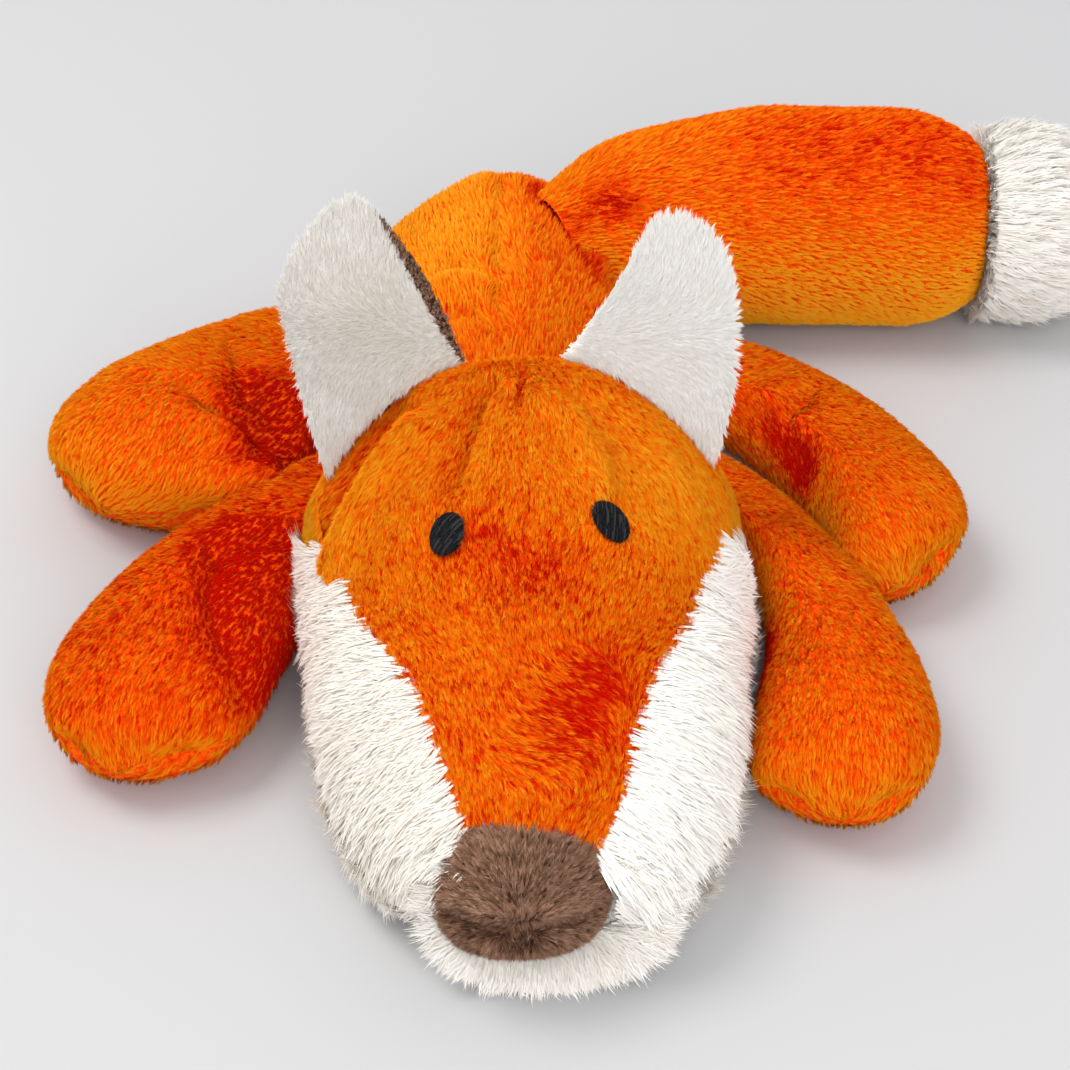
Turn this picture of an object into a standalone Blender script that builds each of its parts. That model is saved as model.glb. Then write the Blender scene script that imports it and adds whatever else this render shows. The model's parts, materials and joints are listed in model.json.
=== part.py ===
"""A floppy plush fox lying on its belly: cloth panels, fillings, sewn ears, limbs and a swept tail.

Metres, +Z up. The origin is the middle of the belly's flat underside. The nose points along -Y, so the fox's
own left side is at +X. Every panel is a slab of cloth, a grid bent to its place on a smooth form, so that
neighbouring panels share their seam line and stay the seam gap apart.
"""
import math

import bmesh
import bpy
from mathutils import Matrix, Vector

# Cloth and fits
SKIN = 0.0015
SEAM_GAP = 0.0003
CLEARANCE = 0.0003
FILL_GAP = 0.0013
FLOOR_CUT = 0.0005
OVERRUN = 0.05

# Neck ball, about which the head nods
NECK_Y = -0.078
NECK_Z = 0.028
NECK_RADIUS = 0.024

# Head, measured from the neck to the front rim behind the nose
HEAD_LENGTH = 0.151
HEAD_HALF_WIDTH = 0.057
HEAD_HEIGHT = 0.080
HEAD_YAW_DEGREES = 2.5

# Nose and eyes
NOSE_HALF_WIDTH = 0.0197
NOSE_HALF_DEPTH = 0.0145
NOSE_HALF_HEIGHT = 0.0165
NOSE_Z = 0.0275
NOSE_ASIDE = 0.0035
EYE_HALF_WIDTH = 0.0046
EYE_HALF_HEIGHT = 0.0056
EYE_RISE = 0.0012
EYE_FORWARD = 0.071
EYE_HALF_SPACING = 0.0205

# Ears
EAR_HEIGHT = 0.045
EAR_HALF_WIDTH = 0.0265
EAR_CUP = 0.005
EAR_CLOTH = 0.0012
EAR_LIFT = 0.0010
EAR_LEAN = 0.022
EAR_SPREAD = 0.013

# Body
SHOULDER_HALF_WIDTH = 0.036
BODY_RISE = 0.027
BODY_SEAM_Z = 0.020
RUMP_X = -0.006
RUMP_Y = 0.028
RUMP_RADIUS = 0.043
PELLET_BAG_HALF_LENGTH = 0.036
PELLET_BAG_HALF_WIDTH = 0.024
PELLET_BAG_HALF_HEIGHT = 0.008

# Limbs
LIMB_THICKNESS = 0.0345
LIMB_SEAM_Z = 0.018
LIMB_ROOT_HALF_THICKNESS = 0.0026
LIMB_ROOT_OVERLAP = 0.001
FRONT_ROOT_BEHIND_NECK = 0.020
HIND_LEFT_ROOT_BEFORE_RUMP = 0.044
HIND_RIGHT_ROOT_BEFORE_RUMP = 0.028
FRONT_LEFT_LENGTH = 0.153
FRONT_RIGHT_LENGTH = 0.142
HIND_LEFT_LENGTH = 0.123
HIND_RIGHT_LENGTH = 0.110
FRONT_PAW_HALF_WIDTH = 0.0265
HIND_LEFT_PAW_HALF_WIDTH = 0.030
HIND_RIGHT_PAW_HALF_WIDTH = 0.035

# Tail
TAIL_RADIUS = 0.0345
TAIL_START = 0.018
TAIL_ORANGE_LENGTH = 0.142
TAIL_TIP_LENGTH = 0.056

HALF_TURN = math.pi
QUARTER_TURN = math.pi / 2
SHARP_EDGE_DEGREES = 50.0
PROBE_SHARE = 0.002

# Shares along each form, from its front or root to its back or tip
HEAD_PLACE_SHARES = (1.0, 0.955, 0.85, 0.7, 0.51, 0.325, 0.19, 0.085, 0.043)
HEAD_WIDTH_SHARES = (0.3, 0.48, 0.68, 0.83, 0.915, 1.0, 1.0, 0.83, 0.4)
HEAD_TOP_SHARES = (0.48, 0.54, 0.6, 0.7, 0.82, 0.935, 1.0, 0.96, 0.63)
HEAD_WIDEST_SHARES = (0.29, 0.26, 0.245, 0.26, 0.31, 0.37, 0.42, 0.44, 0.36)
HEAD_UNDER_SHARES = (0.11, 0.03, 0.0, 0.0, 0.0, 0.0, 0.0, 0.03, 0.09)
GUSSET_TURN_SHARES = (0.25, 0.235, 0.215, 0.235, 0.33, 0.385, 0.4, 0.4, 0.4)
CHEEK_UNDER_TURN_SHARE = 0.8
CHEEK_BACK_SHARE = 0.745
CROWN_BACK_SHARE = 0.87
EAR_OUTER_TURN_SHARE = 0.33
EAR_INNER_TURN_SHARE = 0.09
NECK_RIM_SHARE = 0.99
CHIN_FLATNESS_SHARE = 0.6
EAR_OUTER_WIDTH_SHARES = (0.9, 0.9, 0.86, 0.76, 0.55, 0.15)
EAR_INNER_WIDTH_SHARES = (0.85, 0.72, 0.6, 0.47, 0.32, 0.1)
EAR_ROOT_SHARE = 0.333
EAR_CUP_START_SHARE = 0.5

NECK_BALL_DEGREES = (4.0, 40.0, 75.0, 105.0)
TRUNK_PLACE_SHARES = (0.18, 0.38, 0.6, 0.82, 1.0)
TRUNK_WIDTH_SHARES = (0.8, 0.98, 1.08, 1.15, 1.0)
TRUNK_TAIL_SIDE_SHARES = (0.8, 0.98, 1.05, 0.94, 1.0)
TRUNK_RISE_SHARES = (0.95, 1.0, 1.0, 1.0, 1.0)
TRUNK_DROP_SHARES = (0.72, 0.96, 1.0, 1.0, 1.0)
RUMP_DEGREES = (22.0, 45.0, 66.0, 88.0)
BACK_FLATNESS_SHARE = 0.55
BELLY_FLATNESS_SHARE = 0.8
TRUNK_BACK_FLATNESS_SHARES = (0.9, 0.78, 0.65, 0.55, 0.55)
TRUNK_BELLY_FLATNESS_SHARES = (0.95, 0.85, 0.8, 0.8, 0.8)
PELLET_BAG_PLACE_SHARE = 0.6

LIMB_PLACE_SHARES = (0.0, 0.035, 0.16, 0.36, 0.6, 0.83, 0.965, 1.0)
LIMB_BACK_WIDTH_SHARES = (0.62, 0.64, 0.72, 0.78, 0.9, 1.0, 0.84, 0.5)
FREE_WIDTH_SHARES = (0.5, 0.42, 0.27, 0.42, 0.84, 1.0, 0.84, 0.5)
BY_HEAD_WIDTH_SHARES = (0.5, 0.42, 0.25, 0.13, 0.4, 0.79, 0.78, 0.5)
BY_LIMB_WIDTH_SHARES = (0.45, 0.42, 0.26, 0.2, 0.25, 0.32, 0.37, 0.3)
LIMB_RISE_SHARES = (0.0, 0.03, 0.46, 0.72, 0.93, 1.0, 0.6, 0.0)
LIMB_ROWS = len(LIMB_PLACE_SHARES) - 1
LIMB_TIP_DROP_SHARE = 0.3
LIMB_ROOT_TURN_SHARE = 0.333

TAIL_HEADING_SHARES = (1.0, 0.8, 0.25, 0.0, -0.05, 0.0, 0.0)
TAIL_WIDTH_SHARES = (0.77, 0.88, 0.96, 1.0, 1.0, 1.0, 0.97)
TAIL_RISE_SHARES = (0.66, 0.85, 0.95, 1.0, 1.0, 1.0, 0.97)
TAIL_LIFT_SHARES = (0.05, 0.02, 0.0, 0.0, 0.0, 0.0, 0.0)
TAIL_TIP_SHARES = (0.98, 0.97, 0.9, 0.76, 0.55, 0.28, 0.06)
TAIL_TIP_LIFT_SHARE = 0.8
TAIL_TIP_FILLED_SHARE = 0.93

# Headings in the floor plane, anticlockwise from +X, at the root and at the tip
TAIL_ROOT_DEGREES = 24.0
FRONT_LEFT_DEGREES = (-36.0, -62.0, -81.0, -96.0)
FRONT_RIGHT_DEGREES = (-140.0, -133.0, -116.0, -102.0)
HIND_LEFT_DEGREES = (-24.0, -46.0, -64.0, -68.0)
HIND_RIGHT_DEGREES = (-154.0, -144.0, -127.0, -106.0)


def clear_objects():
    for obj in list(bpy.data.objects):
        bpy.data.objects.remove(obj, do_unlink=True)


def new_collection(name):
    collection = bpy.data.collections.new(name)
    bpy.context.scene.collection.children.link(collection)
    return collection


def plush(name, colour, roughness):
    material = bpy.data.materials.new(name)
    material.use_nodes = True
    shader = material.node_tree.nodes["Principled BSDF"]
    shader.inputs["Base Color"].default_value = (*colour, 1)
    shader.inputs["Roughness"].default_value = roughness
    shader.inputs["Metallic"].default_value = 0
    return material


def orange_plush(name):
    return plush(name, (0.89, 0.15, 0.012), 0.9)


def white_plush(name):
    return plush(name, (0.86, 0.83, 0.78), 0.9)


def brown_plush(name):
    return plush(name, (0.13, 0.075, 0.05), 0.95)


def black_thread(name):
    return plush(name, (0.02, 0.02, 0.025), 0.45)


def polyester_fibre(name):
    return plush(name, (0.85, 0.85, 0.83), 0.95)


def bag_cloth(name):
    return plush(name, (0.55, 0.55, 0.52), 0.8)


def between(low, high, share):
    return low + (high - low) * share


def smooth_between(shares, place):
    """A smooth curve through evenly spaced values, read at a place from 0 to 1."""
    last = len(shares) - 1
    spot = min(max(place, 0), 1) * last
    left = min(int(spot), last - 1)
    part = spot - left
    here = shares[left]
    there = shares[left + 1]
    rise_here = (there - shares[max(left - 1, 0)]) / 2
    rise_there = (shares[min(left + 2, last)] - here) / 2
    cube = part ** 3
    square = part ** 2
    near = here * (2 * cube - 3 * square + 1) + rise_here * (cube - 2 * square + part)
    far = there * (3 * square - 2 * cube) + rise_there * (cube - square)
    return near + far


def walk(start, heading, length, share):
    """The point reached from start after a share of the length, as heading(share) turns the way."""
    steps = 40
    point = Vector(start)
    for step in range(steps):
        angle = heading(share * (step + 0.5) / steps)
        point += Vector((math.cos(angle), math.sin(angle), 0)) * length * share / steps
    return point


def inset(surface, turn, run, depth):
    """The point of a surface moved inwards by depth, square to the surface."""
    low = max(run - PROBE_SHARE, 0)
    high = min(run + PROBE_SHARE, 1)
    across = surface(turn + PROBE_SHARE, run) - surface(turn - PROBE_SHARE, run)
    along = surface(turn, high) - surface(turn, low)
    normal = across.cross(along).normalized()
    return surface(turn, run) - normal * depth


def finish_object(name, bm, finish, collection):
    bmesh.ops.triangulate(bm, faces=bm.faces)
    bmesh.ops.recalc_face_normals(bm, faces=bm.faces)
    if bm.calc_volume(signed=True) < 0:
        bmesh.ops.reverse_faces(bm, faces=bm.faces)
    mesh = bpy.data.meshes.new(name)
    bm.to_mesh(mesh)
    bm.free()
    mesh.shade_smooth()
    mesh.set_sharp_from_angle(angle=math.radians(SHARP_EDGE_DEGREES))
    obj = bpy.data.objects.new(name, mesh)
    obj.data.materials.append(finish(name))
    collection.objects.link(obj)
    return obj


def slab(across, along):
    """A flat slab of squares, with its vertices as (a, b, is_top) where a and b run from 0 to 1."""
    bm = bmesh.new()
    bmesh.ops.create_grid(bm, x_segments=across, y_segments=along, size=0.5)
    bmesh.ops.solidify(bm, geom=bm.faces[:], thickness=1)
    middle = sum(vertex.co.z for vertex in bm.verts) / len(bm.verts)
    places = [(v, v.co.x + 0.5, v.co.y + 0.5, v.co.z > middle) for v in bm.verts]
    return bm, places


def cloth_panel(name, shape, across, along, finish, collection, thickness=SKIN):
    """A piece of cloth: shape(a, b, depth) places its outer face at depth 0 and its inner face below it."""
    bm, places = slab(across, along)
    for vertex, a, b, is_top in places:
        vertex.co = shape(a, b, 0 if is_top else thickness)
    return finish_object(name, bm, finish, collection)


def pillow(name, upper, lower, across, along, finish, collection):
    """A closed pillow between two faces that meet all round its edge."""
    bm, places = slab(across, along)
    for vertex, a, b, is_top in places:
        vertex.co = upper(a, b) if is_top else lower(a, b)
    bmesh.ops.remove_doubles(bm, verts=bm.verts, dist=SEAM_GAP / 10)
    return finish_object(name, bm, finish, collection)


def round_form(name, surface, depth, around, along, finish, collection):
    """A closed round body inside surface(turn, run), with a pole at each end."""
    bm = bmesh.new()
    bmesh.ops.create_uvsphere(bm, u_segments=around, v_segments=along, radius=1)
    for vertex in bm.verts:
        turn = math.atan2(vertex.co.x, vertex.co.y)
        ring = math.acos(max(-1, min(1, vertex.co.z))) / HALF_TURN * along
        run = min(max((ring - 1) / (along - 2), 0), 1)
        if ring < 0.5 or ring > along - 0.5:
            vertex.co = (inset(surface, 0, run, depth) + inset(surface, HALF_TURN, run, depth)) / 2
        else:
            vertex.co = inset(surface, turn, run, depth)
    return finish_object(name, bm, finish, collection)


def cut(obj, cutter):
    modifier = obj.modifiers.new("cut by " + cutter.name, "BOOLEAN")
    modifier.operation = "DIFFERENCE"
    modifier.object = cutter


def hidden(obj):
    obj.hide_render = True
    obj.display_type = "WIRE"
    return obj


def floor_cutter(cutters):
    """A slab whose top is the surface that the fox lies on."""
    reach = HEAD_LENGTH + TAIL_ORANGE_LENGTH + TAIL_TIP_LENGTH
    bm = bmesh.new()
    bmesh.ops.create_cube(bm, size=1)
    bmesh.ops.scale(bm, vec=(2 * reach, 2 * reach, OVERRUN), verts=bm.verts)
    bmesh.ops.translate(bm, vec=(0, 0, -OVERRUN / 2), verts=bm.verts)
    return hidden(finish_object("floor_cutter", bm, black_thread, cutters))


def ball_cutter(name, centre, radii, cutters, around=48):
    bm = bmesh.new()
    bmesh.ops.create_uvsphere(bm, u_segments=around, v_segments=around // 2, radius=1)
    bmesh.ops.scale(bm, vec=radii, verts=bm.verts)
    bmesh.ops.translate(bm, vec=centre, verts=bm.verts)
    return hidden(finish_object(name, bm, black_thread, cutters))


def neck_centre():
    return Vector((0, NECK_Y, NECK_Z))


def neck_cutter(cutters):
    """The neck ball with its running room, measured at the middle of the cutter's flat facets."""
    around = 20
    radius = (NECK_RADIUS + CLEARANCE) / math.cos(HALF_TURN / around) ** 2
    return ball_cutter("neck_cutter", neck_centre(), (radius, radius, radius), cutters, around)


def rump_cutter(cutters):
    """The rump with its running room: the same at every turn about the tail's upright axis."""
    around = 30
    bm = bmesh.new()
    bmesh.ops.create_uvsphere(bm, u_segments=around, v_segments=around // 2, radius=1)
    radius = (RUMP_RADIUS + CLEARANCE) / math.cos(HALF_TURN / around) ** 2
    for vertex in bm.verts:
        x, y, height = vertex.co
        if height > 0:
            z = (BODY_RISE + CLEARANCE) * height ** BACK_FLATNESS_SHARE
        else:
            z = -(BODY_SEAM_Z + FLOOR_CUT + CLEARANCE) * abs(height) ** BELLY_FLATNESS_SHARE
        vertex.co = (RUMP_X + radius * x, RUMP_Y + radius * y, BODY_SEAM_Z + z)
    return hidden(finish_object("rump_cutter", bm, black_thread, cutters))


def bar_cutter(name, centre, direction, radius, length, cutters):
    """A round bar along a sewn line: the room in which the edge sewn there turns."""
    bm = bmesh.new()
    bmesh.ops.create_cone(bm, cap_ends=True, segments=10, radius1=radius, radius2=radius, depth=length)
    turn = Vector((0, 0, 1)).rotation_difference(direction).to_matrix().to_4x4()
    bm.transform(Matrix.Translation(centre) @ turn)
    return hidden(finish_object(name, bm, black_thread, cutters))


def pivot(name, place, parts):
    """An empty on a joint's axis, which carries the pieces that turn there."""
    empty = bpy.data.objects.new(name, None)
    empty.location = place
    parts.objects.link(empty)
    return empty


def carry(empty, objects):
    for obj in objects:
        obj.parent = empty
        obj.matrix_parent_inverse = Matrix.Translation(-empty.location)


def turned_head(point):
    """Turns a point of the straight head about the neck, as the fox holds it."""
    turn = Matrix.Rotation(math.radians(HEAD_YAW_DEGREES), 3, "Z")
    return neck_centre() + turn @ (Vector(point) - neck_centre())


def head_half_width(run):
    return smooth_between(HEAD_WIDTH_SHARES, run) * HEAD_HALF_WIDTH


def head_surface(turn, run):
    """The head's outside: turn from the top, positive to +X, and run from the nose rim to the neck rim."""
    width = head_half_width(run)
    top = smooth_between(HEAD_TOP_SHARES, run) * HEAD_HEIGHT
    widest = smooth_between(HEAD_WIDEST_SHARES, run) * HEAD_HEIGHT
    under = smooth_between(HEAD_UNDER_SHARES, run) * HEAD_HEIGHT - FLOOR_CUT
    place = NECK_Y - smooth_between(HEAD_PLACE_SHARES, run) * HEAD_LENGTH
    upright = math.cos(turn)
    if upright >= 0:
        height = widest + (top - widest) * upright
    else:
        height = widest - (widest - under) * abs(upright) ** CHIN_FLATNESS_SHARE
    return turned_head((width * math.sin(turn), place, height))


def gusset_turn(run):
    return smooth_between(GUSSET_TURN_SHARES, run) * HALF_TURN


def crown_run(turn):
    """Where the face panel ends at the back: level over the crown, then down along each ear."""
    inner = EAR_INNER_TURN_SHARE * HALF_TURN
    outer = EAR_OUTER_TURN_SHARE * HALF_TURN
    share = min(max((abs(turn) - inner) / (outer - inner), 0), 1)
    return between(CROWN_BACK_SHARE, CHEEK_BACK_SHARE, share)


def seam_turn(run):
    """How far half a seam gap turns on the head's ring at this run."""
    return SEAM_GAP / 2 / head_half_width(run)


def make_head_panels(parts):
    seam_run = 2 * SEAM_GAP / HEAD_LENGTH
    under_turn = CHEEK_UNDER_TURN_SHARE * HALF_TURN

    def gusset(a, b, depth):
        limit = gusset_turn(CHEEK_BACK_SHARE)
        run = b * crown_run(between(-limit, limit, a))
        limit = gusset_turn(run) - seam_turn(run)
        return inset(head_surface, between(-limit, limit, a), run, depth)

    def cheek(side):
        def shape(a, b, depth):
            run = b * CHEEK_BACK_SHARE
            low = gusset_turn(run) + seam_turn(run)
            high = under_turn - seam_turn(run)
            return inset(head_surface, side * between(low, high, a), run, depth)
        return shape

    def chin(a, b, depth):
        run = b * CHEEK_BACK_SHARE
        limit = HALF_TURN - under_turn - seam_turn(run)
        return inset(head_surface, HALF_TURN + between(-limit, limit, a), run, depth)

    def back(a, b, depth):
        turn = between(-HALF_TURN, HALF_TURN, a)
        held = HALF_TURN - seam_turn(NECK_RIM_SHARE)
        turn = min(max(turn, -held), held)
        run = between(crown_run(turn) + seam_run, NECK_RIM_SHARE, b)
        return inset(head_surface, turn, run, depth)

    panels = [cloth_panel("face_gusset", gusset, 8, 10, orange_plush, parts)]
    for name, side in (("cheek_left", 1), ("cheek_right", -1)):
        panels.append(cloth_panel(name, cheek(side), 5, 10, white_plush, parts))
    panels.append(cloth_panel("chin_panel", chin, 3, 10, white_plush, parts))
    panels.append(cloth_panel("head_back", back, 20, 3, orange_plush, parts))
    return panels


def head_run_at(forward):
    """The run of the head's ring that lies this far in front of the neck."""
    rings = 200
    runs = [i / rings for i in range(rings + 1)]
    return min(runs, key=lambda run: abs(smooth_between(HEAD_PLACE_SHARES, run) * HEAD_LENGTH - forward))


def dome(name, half_sizes, around, place, finish, parts):
    """Half an ellipsoid with a flat back, standing out along Z before it is turned to its place."""
    bm = bmesh.new()
    bmesh.ops.create_uvsphere(bm, u_segments=around, v_segments=around // 2, radius=1)
    geometry = bm.verts[:] + bm.edges[:] + bm.faces[:]
    bmesh.ops.bisect_plane(bm, geom=geometry, plane_co=(0, 0, 0), plane_no=(0, 0, 1), clear_inner=True)
    bmesh.ops.contextual_create(bm, geom=[edge for edge in bm.edges if edge.is_boundary])
    bmesh.ops.scale(bm, vec=half_sizes, verts=bm.verts)
    bm.transform(place)
    return finish_object(name, bm, finish, parts)


def make_nose(parts, floor):
    """The nose closes the head's front rim, sewn a little to one side."""
    rim = turned_head((-NOSE_ASIDE, NECK_Y - HEAD_LENGTH - SEAM_GAP, NOSE_Z))
    forwards = turned_head((0, NECK_Y - HEAD_LENGTH, NECK_Z)) - neck_centre()
    turned = forwards.to_track_quat("Z", "Y").to_matrix().to_4x4()
    half_sizes = (NOSE_HALF_WIDTH, NOSE_HALF_HEIGHT, NOSE_HALF_DEPTH)
    nose = dome("nose", half_sizes, 16, Matrix.Translation(rim) @ turned, brown_plush, parts)
    cut(nose, floor)
    return nose


def make_eye(name, side, parts):
    """A raised oval of thread, flat behind, that lies on the face."""
    run = head_run_at(EYE_FORWARD)
    turn = side * math.asin(EYE_HALF_SPACING / head_half_width(run))
    point = inset(head_surface, turn, run, -CLEARANCE)
    normal = (point - head_surface(turn, run)).normalized()
    turned = normal.to_track_quat("Z", "Y").to_matrix().to_4x4()
    half_sizes = (EYE_HALF_WIDTH, EYE_HALF_HEIGHT, EYE_RISE)
    return dome(name, half_sizes, 10, Matrix.Translation(point) @ turned, black_thread, parts)


def make_head(parts, cutters, floor):
    neck = neck_cutter(cutters)
    panels = make_head_panels(parts)
    filling = round_form("head_filling", head_surface, SKIN + FILL_GAP, 20, 12, polyester_fibre, parts)
    nose = make_nose(parts, floor)
    eyes = [make_eye("eye_left", 1, parts), make_eye("eye_right", -1, parts)]
    cut(panels[-1], neck)
    cut(filling, neck)
    for panel in panels[3:]:
        cut(panel, floor)
    return [*panels, filling, nose, *eyes]


def ear_base(side, a):
    """A point of the sewn line on the head, from the ear's outer end (0) to its inner end (1)."""
    turn = between(EAR_OUTER_TURN_SHARE, EAR_INNER_TURN_SHARE, a) * HALF_TURN
    return inset(head_surface, side * turn, crown_run(turn), -EAR_LIFT)


def ear_axes(side):
    """The directions across the ear from its outer to its inner end, up it, and out of its front."""
    across = (ear_base(side, 1) - ear_base(side, 0)).normalized()
    tip = Vector((side * EAR_SPREAD, EAR_LEAN, EAR_HEIGHT))
    front = across.cross(tip).normalized()
    if front.y > 0:
        front.negate()
    return across, tip, front


def ear_shape(side, face):
    across, tip, front = ear_axes(side)

    def shape(a, b, depth):
        base = ear_base(side, a)
        middle = ear_base(side, 0.5)
        shares = EAR_OUTER_WIDTH_SHARES if a < 0.5 else EAR_INNER_WIDTH_SHARES
        sideways = (2 * a - 1) * EAR_HALF_WIDTH * smooth_between(shares, b)
        above = middle + tip * b + across * sideways
        point = base.lerp(above, min(1, b / EAR_ROOT_SHARE))
        cup = EAR_CUP * (2 * a - 1) ** 2 * min(1, b / EAR_CUP_START_SHARE)
        return point + front * (cup + face * (SEAM_GAP / 2 + EAR_CLOTH - depth))
    return shape


def make_ear(name, side, parts):
    front = cloth_panel(name + "_front", ear_shape(side, 1), 4, 5, white_plush, parts, EAR_CLOTH)
    back = cloth_panel(name + "_back", ear_shape(side, -1), 4, 5, brown_plush, parts, EAR_CLOTH)
    return [front, back]


def ball_ring(angle):
    """A ring of the neck ball: its place, middle, half widths at -X and +X, seam, rise, drop and flatness."""
    turn = math.radians(angle)
    size = NECK_RADIUS * math.sin(turn)
    return NECK_Y - NECK_RADIUS * math.cos(turn), 0, size, size, NECK_Z, size, size, 1, 1


def trunk_ring(index):
    share = TRUNK_PLACE_SHARES[index]
    free = SHOULDER_HALF_WIDTH * TRUNK_WIDTH_SHARES[index]
    tail_side = SHOULDER_HALF_WIDTH * TRUNK_TAIL_SIDE_SHARES[index]
    if index == len(TRUNK_PLACE_SHARES) - 1:
        free = tail_side = RUMP_RADIUS
    rise = BODY_RISE * TRUNK_RISE_SHARES[index]
    drop = (BODY_SEAM_Z + FLOOR_CUT) * TRUNK_DROP_SHARES[index]
    place = between(NECK_Y, RUMP_Y, share)
    flatness = (TRUNK_BACK_FLATNESS_SHARES[index], TRUNK_BELLY_FLATNESS_SHARES[index])
    return place, RUMP_X * share ** 3, free, tail_side, BODY_SEAM_Z, rise, drop, *flatness


def rump_ring(angle):
    turn = math.radians(angle)
    width = RUMP_RADIUS * math.cos(turn)
    rise = BODY_RISE * math.cos(turn) ** BACK_FLATNESS_SHARE
    drop = (BODY_SEAM_Z + FLOOR_CUT) * math.cos(turn) ** BELLY_FLATNESS_SHARE
    place = RUMP_Y + RUMP_RADIUS * math.sin(turn)
    flatness = (BACK_FLATNESS_SHARE, BELLY_FLATNESS_SHARE)
    return place, RUMP_X, width, width, BODY_SEAM_Z, rise, drop, *flatness


def body_rings():
    rings = [ball_ring(angle) for angle in NECK_BALL_DEGREES]
    rings += [trunk_ring(index) for index in range(len(TRUNK_PLACE_SHARES))]
    rings += [rump_ring(angle) for angle in RUMP_DEGREES]
    return list(zip(*rings))


BODY_COLUMNS = body_rings()
BODY_ROWS = len(BODY_COLUMNS[0]) - 1


def body_surface(turn, run):
    """The body's outside: turn from the top, positive to +X, and run from the neck's pole to the rump's."""
    values = [smooth_between(column, run) for column in BODY_COLUMNS]
    place, middle, free, tail_side, seam, rise, drop, back_flatness, belly_flatness = values
    width = tail_side if math.sin(turn) > 0 else free
    upright = math.cos(turn)
    if upright >= 0:
        height = seam + rise * upright ** back_flatness
    else:
        height = seam - drop * abs(upright) ** belly_flatness
    return Vector((middle + width * math.sin(turn), place, height))


def bag_place():
    """The pellet bag lies on the belly panel, in a hollow of the filling that is open below."""
    rest = SKIN - FLOOR_CUT + CLEARANCE
    return Vector((0, between(NECK_Y, RUMP_Y, PELLET_BAG_PLACE_SHARE), rest + PELLET_BAG_HALF_HEIGHT))


def make_pellet_bag(parts):
    bm = bmesh.new()
    bmesh.ops.create_uvsphere(bm, u_segments=12, v_segments=6, radius=1)
    size = (PELLET_BAG_HALF_WIDTH, PELLET_BAG_HALF_LENGTH, PELLET_BAG_HALF_HEIGHT)
    bmesh.ops.scale(bm, vec=size, verts=bm.verts)
    bmesh.ops.translate(bm, vec=bag_place(), verts=bm.verts)
    return finish_object("pellet_bag", bm, bag_cloth, parts)


def bag_cutter(cutters):
    half_sizes = (PELLET_BAG_HALF_WIDTH, PELLET_BAG_HALF_LENGTH, PELLET_BAG_HALF_HEIGHT)
    grown = [size + CLEARANCE for size in half_sizes]
    return ball_cutter("bag_cutter", bag_place(), grown, cutters, 12)


def make_body(parts, cutters, floor, limbs):
    seam_share = SEAM_GAP / 2 / SHOULDER_HALF_WIDTH

    def back(side):
        def shape(a, b, depth):
            turn = between(seam_share, QUARTER_TURN - seam_share, a)
            return inset(body_surface, side * turn, b, depth)
        return shape

    def belly(a, b, depth):
        limit = QUARTER_TURN - seam_share
        return inset(body_surface, HALF_TURN + between(-limit, limit, a), b, depth)

    panels = [
        cloth_panel("body_back_left", back(1), 4, BODY_ROWS, orange_plush, parts),
        cloth_panel("body_back_right", back(-1), 4, BODY_ROWS, orange_plush, parts),
        cloth_panel("body_belly", belly, 8, BODY_ROWS, orange_plush, parts),
    ]
    inner = SKIN + FILL_GAP
    filling = round_form("body_filling", body_surface, inner, 16, BODY_ROWS + 2, polyester_fibre, parts)
    bars = [limb.bar(cutters) for limb in limbs]
    for obj in (*panels, filling):
        for bar in bars:
            cut(obj, bar)
    cut(panels[2], floor)
    cut(filling, bag_cutter(cutters))
    return [*panels, filling, make_pellet_bag(parts)]


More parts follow.
